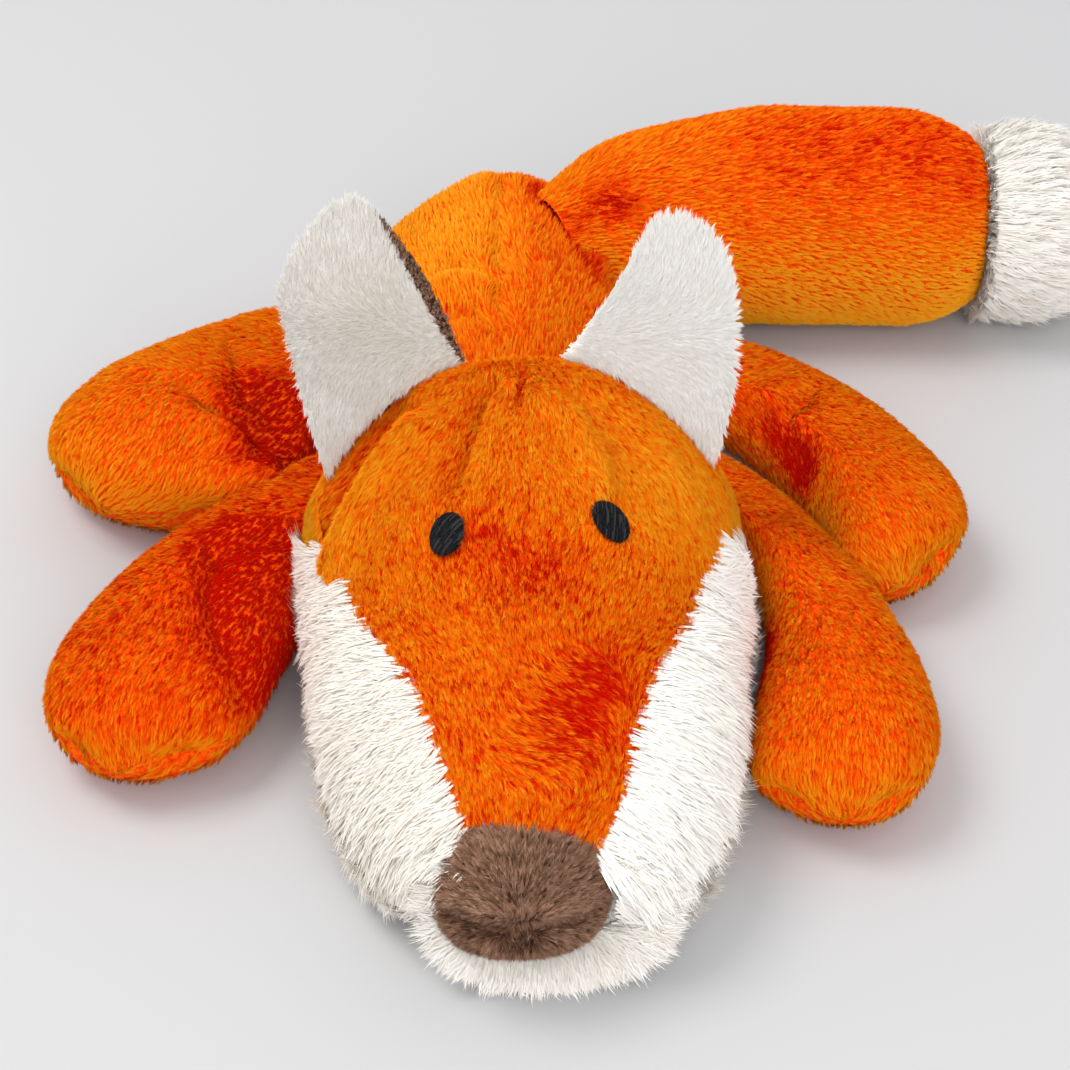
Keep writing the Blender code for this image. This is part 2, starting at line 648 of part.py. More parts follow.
class Limb:
    """One limb: where it is sewn into the body's side seam, the way it lies, and its three pieces."""

    def __init__(self, name, side, root_y, degrees, length, paw_half_width, front_shares):
        self.name = name
        self.side = side
        self.headings = [math.radians(angle) for angle in degrees]
        self.length = length
        self.paw_half_width = paw_half_width
        self.front_shares = front_shares
        self.root = self.side_point(root_y)
        back_end = self.side_point(root_y + paw_half_width * LIMB_BACK_WIDTH_SHARES[0])
        front_end = self.side_point(root_y - paw_half_width * front_shares[0])
        self.seam = (back_end - front_end).normalized()

    def side_point(self, place):
        """The point of the body's side, at the limb's seam height, that lies at this Y."""
        steps = 400
        points = [body_surface(self.side * QUARTER_TURN, i / steps) for i in range(steps + 1)]
        point = min(points, key=lambda p: abs(p.y - place))
        return Vector((point.x, place, LIMB_SEAM_Z))

    def heading(self, share):
        return smooth_between(self.headings, share)

    def middle_height(self, run):
        share = smooth_between(LIMB_PLACE_SHARES, run)
        return between(LIMB_SEAM_Z, LIMB_THICKNESS / 2 - FLOOR_CUT, share)

    def upper(self, turn, run, depth):
        """A point of the upper face, or of a layer below it: turn from its front edge to its back edge."""
        share = smooth_between(LIMB_PLACE_SHARES, run)
        shares = self.front_shares if turn < 0 else LIMB_BACK_WIDTH_SHARES
        width = smooth_between(shares, run) * self.paw_half_width - depth
        rise = LIMB_THICKNESS / 2 * smooth_between(LIMB_RISE_SHARES, run)
        rise = max(rise + LIMB_ROOT_HALF_THICKNESS * (1 - run) ** 4 - depth, 0)
        angle = self.heading(share)
        way = Vector((math.cos(angle), math.sin(angle), 0))
        backwards = Vector((-way.y, way.x, 0)) * self.side
        backwards = self.seam.lerp(backwards, min(1, share / LIMB_ROOT_TURN_SHARE)).normalized()
        outward = Vector((self.seam.y, -self.seam.x, 0)) * self.side
        start = self.root - outward * LIMB_ROOT_OVERLAP
        drop = self.paw_half_width * LIMB_TIP_DROP_SHARE * share ** 4 * math.sin(turn) ** 2
        point = walk(start, self.heading, self.length - drop - depth, share)
        point.z = self.middle_height(run) + rise * math.cos(turn)
        return point + backwards * width * math.sin(turn)

    def under(self, turn, run, depth):
        """The point of the sole below a point of the upper face."""
        point = self.upper(turn, run, depth)
        point.z = 2 * self.middle_height(run) - point.z
        return point

    def make(self, parts, floor):
        raised = Vector((0, 0, SEAM_GAP / 2))
        inner = SKIN + FILL_GAP

        def turn(a):
            return between(-QUARTER_TURN, QUARTER_TURN, a)

        def filled(b):
            return between(1 / LIMB_ROWS, 1, b)

        def top(a, b, depth):
            return self.upper(turn(a), b, depth) + raised

        def sole(a, b, depth):
            return self.under(turn(a), b, depth) - raised

        def filling_top(a, b):
            return self.upper(turn(a), filled(b), inner)

        def filling_under(a, b):
            return self.under(turn(a), filled(b), inner)

        rows = LIMB_ROWS
        pieces = [
            cloth_panel(self.name + "_top", top, 6, rows, orange_plush, parts),
            cloth_panel(self.name + "_sole", sole, 6, rows, orange_plush, parts),
            pillow(self.name + "_filling", filling_top, filling_under, 6, rows - 1, polyester_fibre, parts),
        ]
        cut(pieces[1], floor)
        carry(pivot(self.name + "_pivot", self.root, parts), pieces)

    def bar(self, cutters):
        """The room in the body's side in which the limb's sewn edge turns."""
        reach = math.hypot(LIMB_ROOT_OVERLAP, LIMB_ROOT_HALF_THICKNESS + SEAM_GAP / 2) + CLEARANCE
        back = LIMB_BACK_WIDTH_SHARES[0] * self.paw_half_width + CLEARANCE
        front = self.front_shares[0] * self.paw_half_width + CLEARANCE
        centre = self.root + self.seam * (back - front) / 2
        return bar_cutter(self.name + "_cutter", centre, self.seam, reach, back + front, cutters)


def make_limbs():
    front = (NECK_Y + FRONT_ROOT_BEHIND_NECK, FRONT_PAW_HALF_WIDTH)
    hind_left = (RUMP_Y - HIND_LEFT_ROOT_BEFORE_RUMP, HIND_LEFT_PAW_HALF_WIDTH)
    hind_right = (RUMP_Y - HIND_RIGHT_ROOT_BEFORE_RUMP, HIND_RIGHT_PAW_HALF_WIDTH)
    table = (
        ("front_left", 1, FRONT_LEFT_DEGREES, FRONT_LEFT_LENGTH, front, BY_HEAD_WIDTH_SHARES),
        ("front_right", -1, FRONT_RIGHT_DEGREES, FRONT_RIGHT_LENGTH, front, FREE_WIDTH_SHARES),
        ("hind_left", 1, HIND_LEFT_DEGREES, HIND_LEFT_LENGTH, hind_left, BY_LIMB_WIDTH_SHARES),
        ("hind_right", -1, HIND_RIGHT_DEGREES, HIND_RIGHT_LENGTH, hind_right, FREE_WIDTH_SHARES),
    )
    return [
        Limb(name, side, place, degrees, length, paw, shares)
        for name, side, degrees, length, (place, paw), shares in table
    ]


def tail_heading(share):
    return math.radians(TAIL_ROOT_DEGREES) * smooth_between(TAIL_HEADING_SHARES, share)


def tail_start():
    angle = tail_heading(0)
    way = Vector((math.cos(angle), math.sin(angle), 0))
    return Vector((RUMP_X, RUMP_Y, 0)) + way * TAIL_START


def tail_ring(turn, point, angle, width, rise, lift):
    across = Vector((math.sin(angle), -math.cos(angle), 0))
    height = rise - FLOOR_CUT + lift + rise * math.cos(turn)
    return point + across * width * math.sin(turn) + Vector((0, 0, height))


def sleeve_surface(turn, run):
    point = walk(tail_start(), tail_heading, TAIL_ORANGE_LENGTH, run)
    width = TAIL_RADIUS * smooth_between(TAIL_WIDTH_SHARES, run)
    rise = TAIL_RADIUS * smooth_between(TAIL_RISE_SHARES, run)
    lift = TAIL_RADIUS * smooth_between(TAIL_LIFT_SHARES, run)
    return tail_ring(turn, point, tail_heading(run), width, rise, lift)


def tip_surface(turn, run):
    joint = walk(tail_start(), tail_heading, TAIL_ORANGE_LENGTH, 1)
    share = math.sin(run * QUARTER_TURN)
    point = joint + Vector((TAIL_TIP_LENGTH * share, 0, 0))
    radius = TAIL_RADIUS * smooth_between(TAIL_TIP_SHARES, share)
    level = TAIL_RADIUS * smooth_between(TAIL_TIP_SHARES, 0)
    return tail_ring(turn, point, 0, radius, radius, (level - radius) * TAIL_TIP_LIFT_SHARE)


def make_tail(parts, cutters, floor):
    rump = rump_cutter(cutters)
    seam_share = SEAM_GAP / 2 / TAIL_RADIUS
    half_gap_run = SEAM_GAP / 2 / TAIL_ORANGE_LENGTH

    def ring_turn(a):
        return between(-HALF_TURN + seam_share, HALF_TURN - seam_share, a)

    def sleeve(a, b, depth):
        return inset(sleeve_surface, ring_turn(a), b * (1 - half_gap_run), depth)

    def tip(a, b, depth):
        return inset(tip_surface, ring_turn(a), between(2 * half_gap_run, 1, b), depth)

    def whole(turn, run):
        share = run * (TAIL_ORANGE_LENGTH + TAIL_TIP_LENGTH)
        if share <= TAIL_ORANGE_LENGTH:
            return sleeve_surface(turn, share / TAIL_ORANGE_LENGTH)
        part = (share - TAIL_ORANGE_LENGTH) / TAIL_TIP_LENGTH
        return tip_surface(turn, math.asin(min(1, part * TAIL_TIP_FILLED_SHARE)) / QUARTER_TURN)

    pieces = [
        cloth_panel("tail_sleeve", sleeve, 16, 7, orange_plush, parts),
        cloth_panel("tail_tip", tip, 16, 5, white_plush, parts),
        round_form("tail_filling", whole, SKIN + FILL_GAP, 16, 10, polyester_fibre, parts),
    ]
    cut(pieces[0], rump)
    cut(pieces[2], rump)
    for piece in pieces:
        cut(piece, floor)
    return pieces


def build():
    clear_objects()
    parts = new_collection("plush_fox")
    cutters = new_collection("cutters")
    floor = floor_cutter(cutters)
    limbs = make_limbs()
    make_body(parts, cutters, floor, limbs)
    for limb in limbs:
        limb.make(parts, floor)
    head = make_head(parts, cutters, floor)
    head_pivot = pivot("head_pivot", neck_centre(), parts)
    carry(head_pivot, head)
    for name, side in (("ear_left", 1), ("ear_right", -1)):
        ear_pivot = pivot(name + "_pivot", ear_base(side, 0.5), parts)
        carry(ear_pivot, make_ear(name, side, parts))
    tail_pivot = pivot("tail_pivot", Vector((RUMP_X, RUMP_Y, BODY_SEAM_Z)), parts)
    carry(tail_pivot, make_tail(parts, cutters, floor))


build()
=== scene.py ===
"""The looks of a floppy plush fox that lies on its belly: cloth skins, real fur strands, stitched eyes and folds.

Metres, +Z up. The nose points along -Y, and the fox's own left side, with the swept tail, is at +X.
"""

import json
import math

import bpy
import numpy as np
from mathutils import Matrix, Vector


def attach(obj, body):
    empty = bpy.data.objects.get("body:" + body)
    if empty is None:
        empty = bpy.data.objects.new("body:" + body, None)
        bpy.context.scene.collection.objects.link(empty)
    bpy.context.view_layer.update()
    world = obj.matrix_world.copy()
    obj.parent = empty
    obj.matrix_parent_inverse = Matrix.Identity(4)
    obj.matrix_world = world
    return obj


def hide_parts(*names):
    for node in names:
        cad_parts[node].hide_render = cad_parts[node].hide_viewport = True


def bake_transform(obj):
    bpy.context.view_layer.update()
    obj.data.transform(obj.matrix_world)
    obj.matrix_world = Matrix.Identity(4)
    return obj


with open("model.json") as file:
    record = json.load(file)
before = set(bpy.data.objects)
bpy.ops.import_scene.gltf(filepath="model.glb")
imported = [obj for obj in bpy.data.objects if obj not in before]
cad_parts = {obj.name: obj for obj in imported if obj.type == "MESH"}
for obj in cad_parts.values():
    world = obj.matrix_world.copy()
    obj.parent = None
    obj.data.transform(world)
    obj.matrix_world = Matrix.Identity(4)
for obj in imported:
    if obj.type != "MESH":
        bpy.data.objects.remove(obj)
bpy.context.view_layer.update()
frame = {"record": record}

PI = math.pi
FLOOR_CUT = 0.0005
NECK = np.array((0, -0.078, 0.028))
HEAD_LENGTH, HEAD_HALF_WIDTH, HEAD_HEIGHT = 0.151, 0.057, 0.080
HEAD_YAW = math.radians(2.5)
BODY_RISE, BODY_SEAM_Z = 0.027, 0.020
RUMP_X, RUMP_Y, RUMP_RADIUS = -0.006, 0.028, 0.043
SHOULDER = 0.036
LIMB_THICKNESS, LIMB_SEAM_Z, LIMB_ROOT_HALF = 0.0345, 0.018, 0.0026
TAIL_RADIUS, TAIL_START, TAIL_ORANGE, TAIL_TIP = 0.0345, 0.018, 0.142, 0.056
TAIL_ROOT_ANGLE = math.radians(24)
EAR_HALF_WIDTH, EAR_HEIGHT, EAR_LEAN = 0.0265, 0.045, 0.022
NOSE_HALF_WIDTH, NOSE_HALF_HEIGHT, NOSE_DEPTH, NOSE_LEAN = 0.0200, 0.0160, 0.0120, math.radians(28)

HEAD_PLACE = (1.0, 0.955, 0.85, 0.7, 0.51, 0.325, 0.19, 0.085, 0.043)
HEAD_WIDTH = (0.3, 0.48, 0.68, 0.83, 0.915, 1.0, 1.0, 0.83, 0.4)
HEAD_TOP = (0.48, 0.54, 0.6, 0.7, 0.82, 0.935, 1.0, 0.96, 0.63)
HEAD_WIDEST = (0.29, 0.26, 0.245, 0.26, 0.31, 0.37, 0.42, 0.44, 0.36)
HEAD_UNDER = (0.11, 0.03, 0.0, 0.0, 0.0, 0.0, 0.0, 0.03, 0.09)
GUSSET_TURN = (0.25, 0.235, 0.215, 0.235, 0.33, 0.385, 0.4, 0.4, 0.4)
CHEEK_UNDER, CHEEK_BACK, CROWN_BACK = 0.8, 0.745, 0.87
EAR_OUTER, EAR_INNER = 0.33, 0.09

NECK_BALL = (4.0, 40.0, 75.0, 105.0)
TRUNK_PLACE = (0.18, 0.38, 0.6, 0.82, 1.0)
TRUNK_WIDTH = (0.8, 0.98, 1.08, 1.15, 1.0)
TRUNK_TAIL_SIDE = (0.8, 0.98, 1.05, 0.94, 1.0)
TRUNK_RISE = (0.95, 1.0, 1.0, 1.0, 1.0)
TRUNK_DROP = (0.72, 0.96, 1.0, 1.0, 1.0)
TRUNK_BACK_FLAT = (0.9, 0.78, 0.65, 0.55, 0.55)
TRUNK_BELLY_FLAT = (0.95, 0.85, 0.8, 0.8, 0.8)
RUMP_TURNS = (22.0, 45.0, 66.0, 90.0)

LIMB_PLACE = (0.0, 0.035, 0.16, 0.36, 0.6, 0.83, 0.965, 1.0)
LIMB_BACK = (0.62, 0.64, 0.72, 0.78, 0.9, 1.0, 0.84, 0.5)
FULL_FRONT = (0.55, 0.55, 0.58, 0.82, 1.06, 1.08, 0.86, 0.5)
HIND_BACK = (0.66, 0.78, 0.96, 1.02, 1.1, 1.1, 0.9, 0.5)
HAUNCH_FRONT = (0.6, 0.66, 0.78, 0.96, 1.24, 1.5, 1.38, 0.95)
HAUNCH_BACK = (0.66, 0.74, 0.88, 0.96, 1.0, 1.0, 0.84, 0.5)
BY_HEAD = (0.5, 0.42, 0.25, 0.13, 0.4, 0.79, 0.78, 0.5)
BY_LIMB = (0.45, 0.42, 0.26, 0.2, 0.25, 0.32, 0.37, 0.3)
LIMB_RISE = (0.1, 0.2, 0.54, 0.76, 0.94, 1.0, 0.66, 0.0)

TAIL_HEADING = (1.0, 0.8, 0.25, 0.0, -0.05, 0.0, 0.0)
TAIL_WIDTH = (0.77, 0.88, 0.96, 1.0, 1.0, 1.0, 0.97)
TAIL_RISE = (0.66, 0.85, 0.95, 1.0, 1.0, 1.0, 0.97)
TAIL_LIFT = (0.05, 0.02, 0.0, 0.0, 0.0, 0.0, 0.0)
TAIL_TIP_SIZE = (0.84, 0.88, 0.85, 0.74, 0.55, 0.28, 0.06)
TAIL_ROUND_START, TAIL_ROUND_DEPTH = 0.80, 0.46

EAR_OUTER_WIDTH = {1: (0.92, 0.86, 0.78, 0.67, 0.53, 0.40), -1: (0.90, 0.88, 0.85, 0.84, 0.82, 0.72)}
EAR_INNER_WIDTH = {1: (0.87, 0.75, 0.65, 0.57, 0.50, 0.46), -1: (0.87, 0.72, 0.60, 0.49, 0.40, 0.34)}
EAR_TIP_OUT = {1: 0.0150, -1: 0.0125}
EAR_SLIDE, EAR_FORWARDS = -0.045, 0.020
EAR_BEND = 0.016


# Curves and vectors

def smooth(table, place):
    """A smooth curve through evenly spaced values, read at places from 0 to 1."""
    table = np.asarray(table, float)
    last = len(table) - 1
    spot = np.clip(place, 0, 1) * last
    left = np.minimum(spot.astype(int), last - 1)
    part = spot - left
    here, there = table[left], table[left + 1]
    rise_here = (there - table[np.maximum(left - 1, 0)]) / 2
    rise_there = (table[np.minimum(left + 2, last)] - here) / 2
    cube, square = part ** 3, part ** 2
    near = here * (2 * cube - 3 * square + 1) + rise_here * (cube - 2 * square + part)
    return near + there * (3 * square - 2 * cube) + rise_there * (cube - square)


def stack(x, y, z):
    x, y, z = np.broadcast_arrays(x, y, z)
    return np.stack((x, y, z), axis=-1).astype(float)


def route(*tenths):
    """Points along a line, written in tenths of a millimetre."""
    return np.reshape(tenths, (-1, 3)) / 10000


def unit(v):
    size = np.linalg.norm(v, axis=-1, keepdims=True)
    return v / np.maximum(size, 1e-12)


def lumps(points, size, seed, waves=7):
    """Soft random lumps of about this size, from -1 to 1."""
    rng = np.random.default_rng(seed)
    total = np.zeros(points.shape[:-1])
    for _ in range(waves):
        way = rng.normal(size=3)
        way = way / np.linalg.norm(way) * 2 * PI / size * rng.uniform(0.6, 1.3)
        total += np.sin(points @ way + rng.uniform(0, 2 * PI))
    return total / waves * 1.6


def bell(points, line, width):
    """1 on a line of points, falling softly to 0 at about this distance."""
    line = np.asarray(line, float)
    if len(line) == 1:
        near = np.linalg.norm(points - line[0], axis=-1)
        return np.exp(-(near / width) ** 2)
    near = np.full(points.shape[:-1], 1e9)
    for start, end in zip(line[:-1], line[1:]):
        way = end - start
        share = np.clip(((points - start) @ way) / (way @ way), 0, 1)
        near = np.minimum(near, np.linalg.norm(points - start - share[..., None] * way, axis=-1))
    return np.exp(-(near / width) ** 2)


def ramp_up(value, low, high):
    return np.clip((value - low) / (high - low), 0, 1)


# The forms

def turned_head(points):
    c, s = math.cos(HEAD_YAW), math.sin(HEAD_YAW)
    turn = np.array(((c, -s, 0), (s, c, 0), (0, 0, 1)))
    return (points - NECK) @ turn.T + NECK


def head_half_width(run):
    return smooth(HEAD_WIDTH, run) * HEAD_HALF_WIDTH


def head_surface(turn, run):
    width = head_half_width(run)
    top = smooth(HEAD_TOP, run) * HEAD_HEIGHT
    widest = smooth(HEAD_WIDEST, run) * HEAD_HEIGHT
    under = smooth(HEAD_UNDER, run) * HEAD_HEIGHT - FLOOR_CUT
    place = NECK[1] - smooth(HEAD_PLACE, run) * HEAD_LENGTH
    up = np.cos(turn)
    height = np.where(up >= 0, widest + (top - widest) * up, widest - (widest - under) * np.abs(up) ** 0.6)
    return turned_head(stack(width * np.sin(turn), place, height))


def gusset_turn(run):
    return smooth(GUSSET_TURN, run) * PI


def crown_run(turn):
    share = np.clip((np.abs(turn) - EAR_INNER * PI) / ((EAR_OUTER - EAR_INNER) * PI), 0, 1)
    return CROWN_BACK + (CHEEK_BACK - CROWN_BACK) * share


def body_rings():
    rows = []
    for angle in NECK_BALL:
        size = 0.024 * math.sin(math.radians(angle))
        rows.append((NECK[1] - 0.024 * math.cos(math.radians(angle)), 0, size, size, NECK[2], size, size, 1, 1))
    for i, share in enumerate(TRUNK_PLACE):
        free, side = SHOULDER * TRUNK_WIDTH[i], SHOULDER * TRUNK_TAIL_SIDE[i]
        if i == len(TRUNK_PLACE) - 1:
            free = side = RUMP_RADIUS
        place = NECK[1] + (RUMP_Y - NECK[1]) * share
        rise, drop = BODY_RISE * TRUNK_RISE[i], (BODY_SEAM_Z + FLOOR_CUT) * TRUNK_DROP[i]
        flat = (TRUNK_BACK_FLAT[i], TRUNK_BELLY_FLAT[i])
        rows.append((place, RUMP_X * share ** 3, free, side, BODY_SEAM_Z, rise, drop, *flat))
    for angle in RUMP_TURNS:
        c, s = math.cos(math.radians(angle)), math.sin(math.radians(angle))
        width, rise = RUMP_RADIUS * c, BODY_RISE * c ** 0.55
        drop = (BODY_SEAM_Z + FLOOR_CUT) * c ** 0.8
        rows.append((RUMP_Y + RUMP_RADIUS * s, RUMP_X, width, width, BODY_SEAM_Z, rise, drop, 0.55, 0.8))
    return np.array(rows)


BODY_ROWS = body_rings()


def body_surface(turn, run):
    place, middle, free, side, seam, rise, drop, back_flat, belly_flat = (
        smooth(BODY_ROWS[:, i], run) for i in range(9)
    )
    width = np.where(np.sin(turn) > 0, side, free)
    up = np.cos(turn)
    tall = np.abs(up)
    height = np.where(up >= 0, seam + rise * tall ** back_flat, seam - drop * tall ** belly_flat)
    return stack(middle + width * np.sin(turn), place, height)


def walk(start, headings, length, share):
    """Points along a way whose heading changes, for an array of shares."""
    steps = 80
    places = (np.arange(steps) + 0.5) / steps
    angle = smooth(headings, places)
    path = np.concatenate((np.zeros((1, 2)), np.cumsum(np.stack((np.cos(angle), np.sin(angle)), 1), 0) / steps))
    marks = np.linspace(0, 1, steps + 1)
    x = np.interp(share, marks, path[:, 0]) * length
    y = np.interp(share, marks, path[:, 1]) * length
    return stack(start[0] + x, start[1] + y, np.zeros_like(x) + start[2])


JOINTS = {joint["name"]: joint for joint in frame["record"]["behaviour"]["joints"]}


class Limb:
    def __init__(self, name, side, degrees, length, paw, front, fuller=1.0, back=LIMB_BACK):
        self.name, self.side, self.front, self.length, self.paw = name, side, front, length, paw
        self.back = back
        joint = JOINTS[name + "_lift"]
        self.root = np.array(joint["pos_m"])
        self.seam = -side * np.array(joint["axis"])
        self.headings = [math.radians(angle) for angle in degrees]
        self.fuller = fuller

    def surface(self, turn, run, face):
        """face is 1 for the upper side and -1 for the sole."""
        share = smooth(LIMB_PLACE, run)
        width = np.where(turn < 0, smooth(self.front, run), smooth(self.back, run)) * self.paw
        rise = LIMB_THICKNESS / 2 * smooth(LIMB_RISE, run) + LIMB_ROOT_HALF * (1 - run) ** 4
        angle = smooth(self.headings, share)
        way = stack(np.cos(angle), np.sin(angle), 0)
        back = stack(-way[..., 1], way[..., 0], 0) * self.side
        mix = np.minimum(1, 3 * share)[..., None]
        back = unit(self.seam * (1 - mix) + back * mix)
        out = np.array((self.seam[1], -self.seam[0], 0)) * self.side
        drop = self.paw * 0.3 * share ** 4 * np.sin(turn) ** 2
        start = self.root - out * 0.001
        point = start + (walk(start, self.headings, 1.0, share) - start) * (self.length - drop)[..., None]
        middle = LIMB_SEAM_Z + (LIMB_THICKNESS / 2 - FLOOR_CUT - LIMB_SEAM_Z) * share
        rise = rise * (self.fuller if face > 0 else 1.0)
        point[..., 2] = middle + face * rise * np.cos(turn)
        return point + back * (width * np.sin(turn))[..., None]


LIMBS = (
    Limb("front_left", 1, (-36, -61, -80, -94), 0.156, 0.0265, BY_HEAD),
    Limb("front_right", -1, (-139, -131, -112, -95), 0.147, 0.0272, FULL_FRONT),
    Limb("hind_left", 1, (-24, -47, -66, -71), 0.122, 0.030, BY_LIMB, 1.06, HIND_BACK),
    Limb("hind_right", -1, (-154, -144, -127, -106), 0.110, 0.034, HAUNCH_FRONT, 1.12, HAUNCH_BACK),
)


def tail_angle(run):
    return TAIL_ROOT_ANGLE * smooth(TAIL_HEADING, run)


def tail_ring(turn, point, angle, width, rise, lift):
    across = stack(np.sin(angle), -np.cos(angle), 0)
    height = rise - FLOOR_CUT + lift + rise * np.cos(turn)
    return point + across * (width * np.sin(turn))[..., None] + stack(0, 0, height)


TAIL_START_POINT = (RUMP_X + TAIL_START * math.cos(TAIL_ROOT_ANGLE), RUMP_Y + TAIL_START * math.sin(TAIL_ROOT_ANGLE), 0)
TAIL_HEADINGS = [TAIL_ROOT_ANGLE * share for share in TAIL_HEADING]


def sleeve_surface(turn, run):
    turn, run = np.broadcast_arrays(turn, run)
    point = walk(TAIL_START_POINT, TAIL_HEADINGS, TAIL_ORANGE, run)
    end = ramp_up(run, TAIL_ROUND_START, 1)
    slim = 1 - TAIL_ROUND_DEPTH * (1 - np.sqrt(1 - end ** 2))
    width, rise, lift = (TAIL_RADIUS * smooth(t, run) for t in (TAIL_WIDTH, TAIL_RISE, TAIL_LIFT))
    return tail_ring(turn, point, tail_angle(run), width * slim, rise * slim, lift + rise * (1 - slim))


def tip_surface(turn, run):
    """The white end: a flat ring at the seam, and then the rounded cap."""
    turn, run = np.broadcast_arrays(turn, run)
    joint = walk(TAIL_START_POINT, TAIL_HEADINGS, TAIL_ORANGE, np.array(1.0))
    ring = ramp_up(run, 0.0, 0.12)
    share = np.sin(ramp_up(run, 0.12, 1) * PI / 2)
    full = TAIL_RADIUS * smooth(TAIL_TIP_SIZE, share)
    radius = full * (0.40 + 0.60 * np.sin(ring * PI / 2))
    lift = (TAIL_RADIUS * 0.96 - full) * 0.8 + (full - radius)
    return tail_ring(turn, joint + stack(TAIL_TIP * share, 0, 0), np.zeros_like(run), radius, radius, lift)


# Sheets: fine grids of points with their outward directions

class Sheet:
    def __init__(self, points, closed=False, middle=None):
        self.points = points
        self.middle = points.reshape(-1, 3).mean(0) if middle is None else np.array(middle)
        self.closed = closed
        self.face()
        self.soft = self.normals

    def face(self):
        points = self.points
        across = np.gradient(points, axis=0)
        along = np.gradient(points, axis=1)
        if self.closed:
            across[0] = across[-1] = (points[1] - points[-2]) / 2
        normal = unit(np.cross(across, along))
        weak = np.linalg.norm(np.cross(across, along), axis=-1) < 1e-12
        outwards = unit(points - self.middle)
        if (normal * outwards).sum() < 0:
            normal = -normal
        normal[weak] = outwards[weak]
        self.normals = normal

    def push(self, depth):
        """Moves the sheet outwards by a depth at each point."""
        self.points = self.points + self.normals * depth[..., None]
        self.face()
        self.soft = self.normals
        return self

    def fold(self, *folds, still=None, soften=0.9):
        """Raises or sinks soft folds: each is a line of points, a height and a width. still is 0 where nothing moves.

        The pile's shading follows the folds only in part, as real pile spreads the light.
        """
        before = self.normals
        for line, height, width in folds:
            depth = height * bell(self.points, line, width)
            self.push(depth if still is None else depth * still)
        self.soft = unit(self.normals + soften * before)
        return self

    def lit(self, x, y, z, behind=0.0):
        """Turns the pile's shading softly towards a way, and past a far edge a share more, as real pile is lit."""
        past = ramp_up(self.normals[..., 1:2], 0.0, 0.5) * behind
        self.soft = unit(self.soft + np.array((x, y, z), float) + past * np.array((0, -1.5, 1.0)))
        return self


def grid(surface, across, along):
    a, b = np.meshgrid(np.linspace(0, 1, across + 1), np.linspace(0, 1, along + 1), indexing="ij")
    return surface(a, b)


def new_mesh(name, points, loops, starts, uv=None, normals=None):
    mesh = bpy.data.meshes.new(name)
    mesh.vertices.add(len(points))
    mesh.vertices.foreach_set("co", np.ascontiguousarray(points, dtype=np.float32).ravel())
    mesh.loops.add(len(loops))
    mesh.loops.foreach_set("vertex_index", np.ascontiguousarray(loops, dtype=np.int32))
    mesh.polygons.add(len(starts))
    mesh.polygons.foreach_set("loop_start", np.ascontiguousarray(starts, dtype=np.int32))
    if uv is not None:
        layer = mesh.uv_layers.new(name="OFBake")
        layer.data.foreach_set("uv", np.ascontiguousarray(uv, dtype=np.float32).ravel())
    mesh.update(calc_edges=True)
    if normals is not None:
        custom = mesh.attributes.new("custom_normal", "FLOAT_VECTOR", "POINT")
        custom.data.foreach_set("vector", np.ascontiguousarray(normals, dtype=np.float32).ravel())
        mesh.update()
    return mesh


def link(name, mesh, material):
    obj = bpy.data.objects.new(name, mesh)
    mesh.materials.append(material)
    bpy.context.scene.collection.objects.link(obj)
    return obj


def skin(name, sheet, material, inset=0.0004):
    """The cloth under the pile, as a grid of squares on the floor or above it."""
    points = sheet.points - sheet.normals * inset
    rows, columns = points.shape[:2]
    flat = points.reshape(-1, 3).copy()
    flat[:, 2] = np.maximum(flat[:, 2], 0.0001)
    i, j = np.meshgrid(np.arange(rows - 1), np.arange(columns - 1), indexing="ij")
    first = (i * columns + j).ravel()
    loops = np.stack((first, first + columns, first + columns + 1, first + 1), 1)
    uv = np.stack((loops // columns / rows, loops % columns / columns), -1)
    return link(name, new_mesh(name, flat, loops.ravel(), np.arange(len(loops)) * 4, uv.reshape(-1, 2)), material)


def scatter(sheet, count, rng, mask=None):
    """Places spread evenly over a sheet: their points and outward directions."""
    p, n = sheet.points, sheet.normals
    diagonal = np.cross(p[1:, 1:] - p[:-1, :-1], p[1:, :-1] - p[:-1, 1:])
    area = np.linalg.norm(diagonal, axis=-1) / 2
    if mask is not None:
        area = area * mask((p[1:, 1:] + p[:-1, :-1]) / 2, n[:-1, :-1])
    total = np.cumsum(area.ravel())
    marks = (np.arange(count) + rng.uniform(size=count)) / count * total[-1]
    cell = np.minimum(np.searchsorted(total, marks), len(total) - 1)
    i, j = np.divmod(cell, area.shape[1])
    s, t = rng.uniform(size=(2, count, 1))

    def read(values):
        low = values[i, j] * (1 - t) + values[i, j + 1] * t
        high = values[i + 1, j] * (1 - t) + values[i + 1, j + 1] * t
        return low * (1 - s) + high * s
    return read(p), unit(read(n)), unit(read(sheet.soft))


SPIKE_TURNS = np.array((0, 2 * PI / 3, 4 * PI / 3))


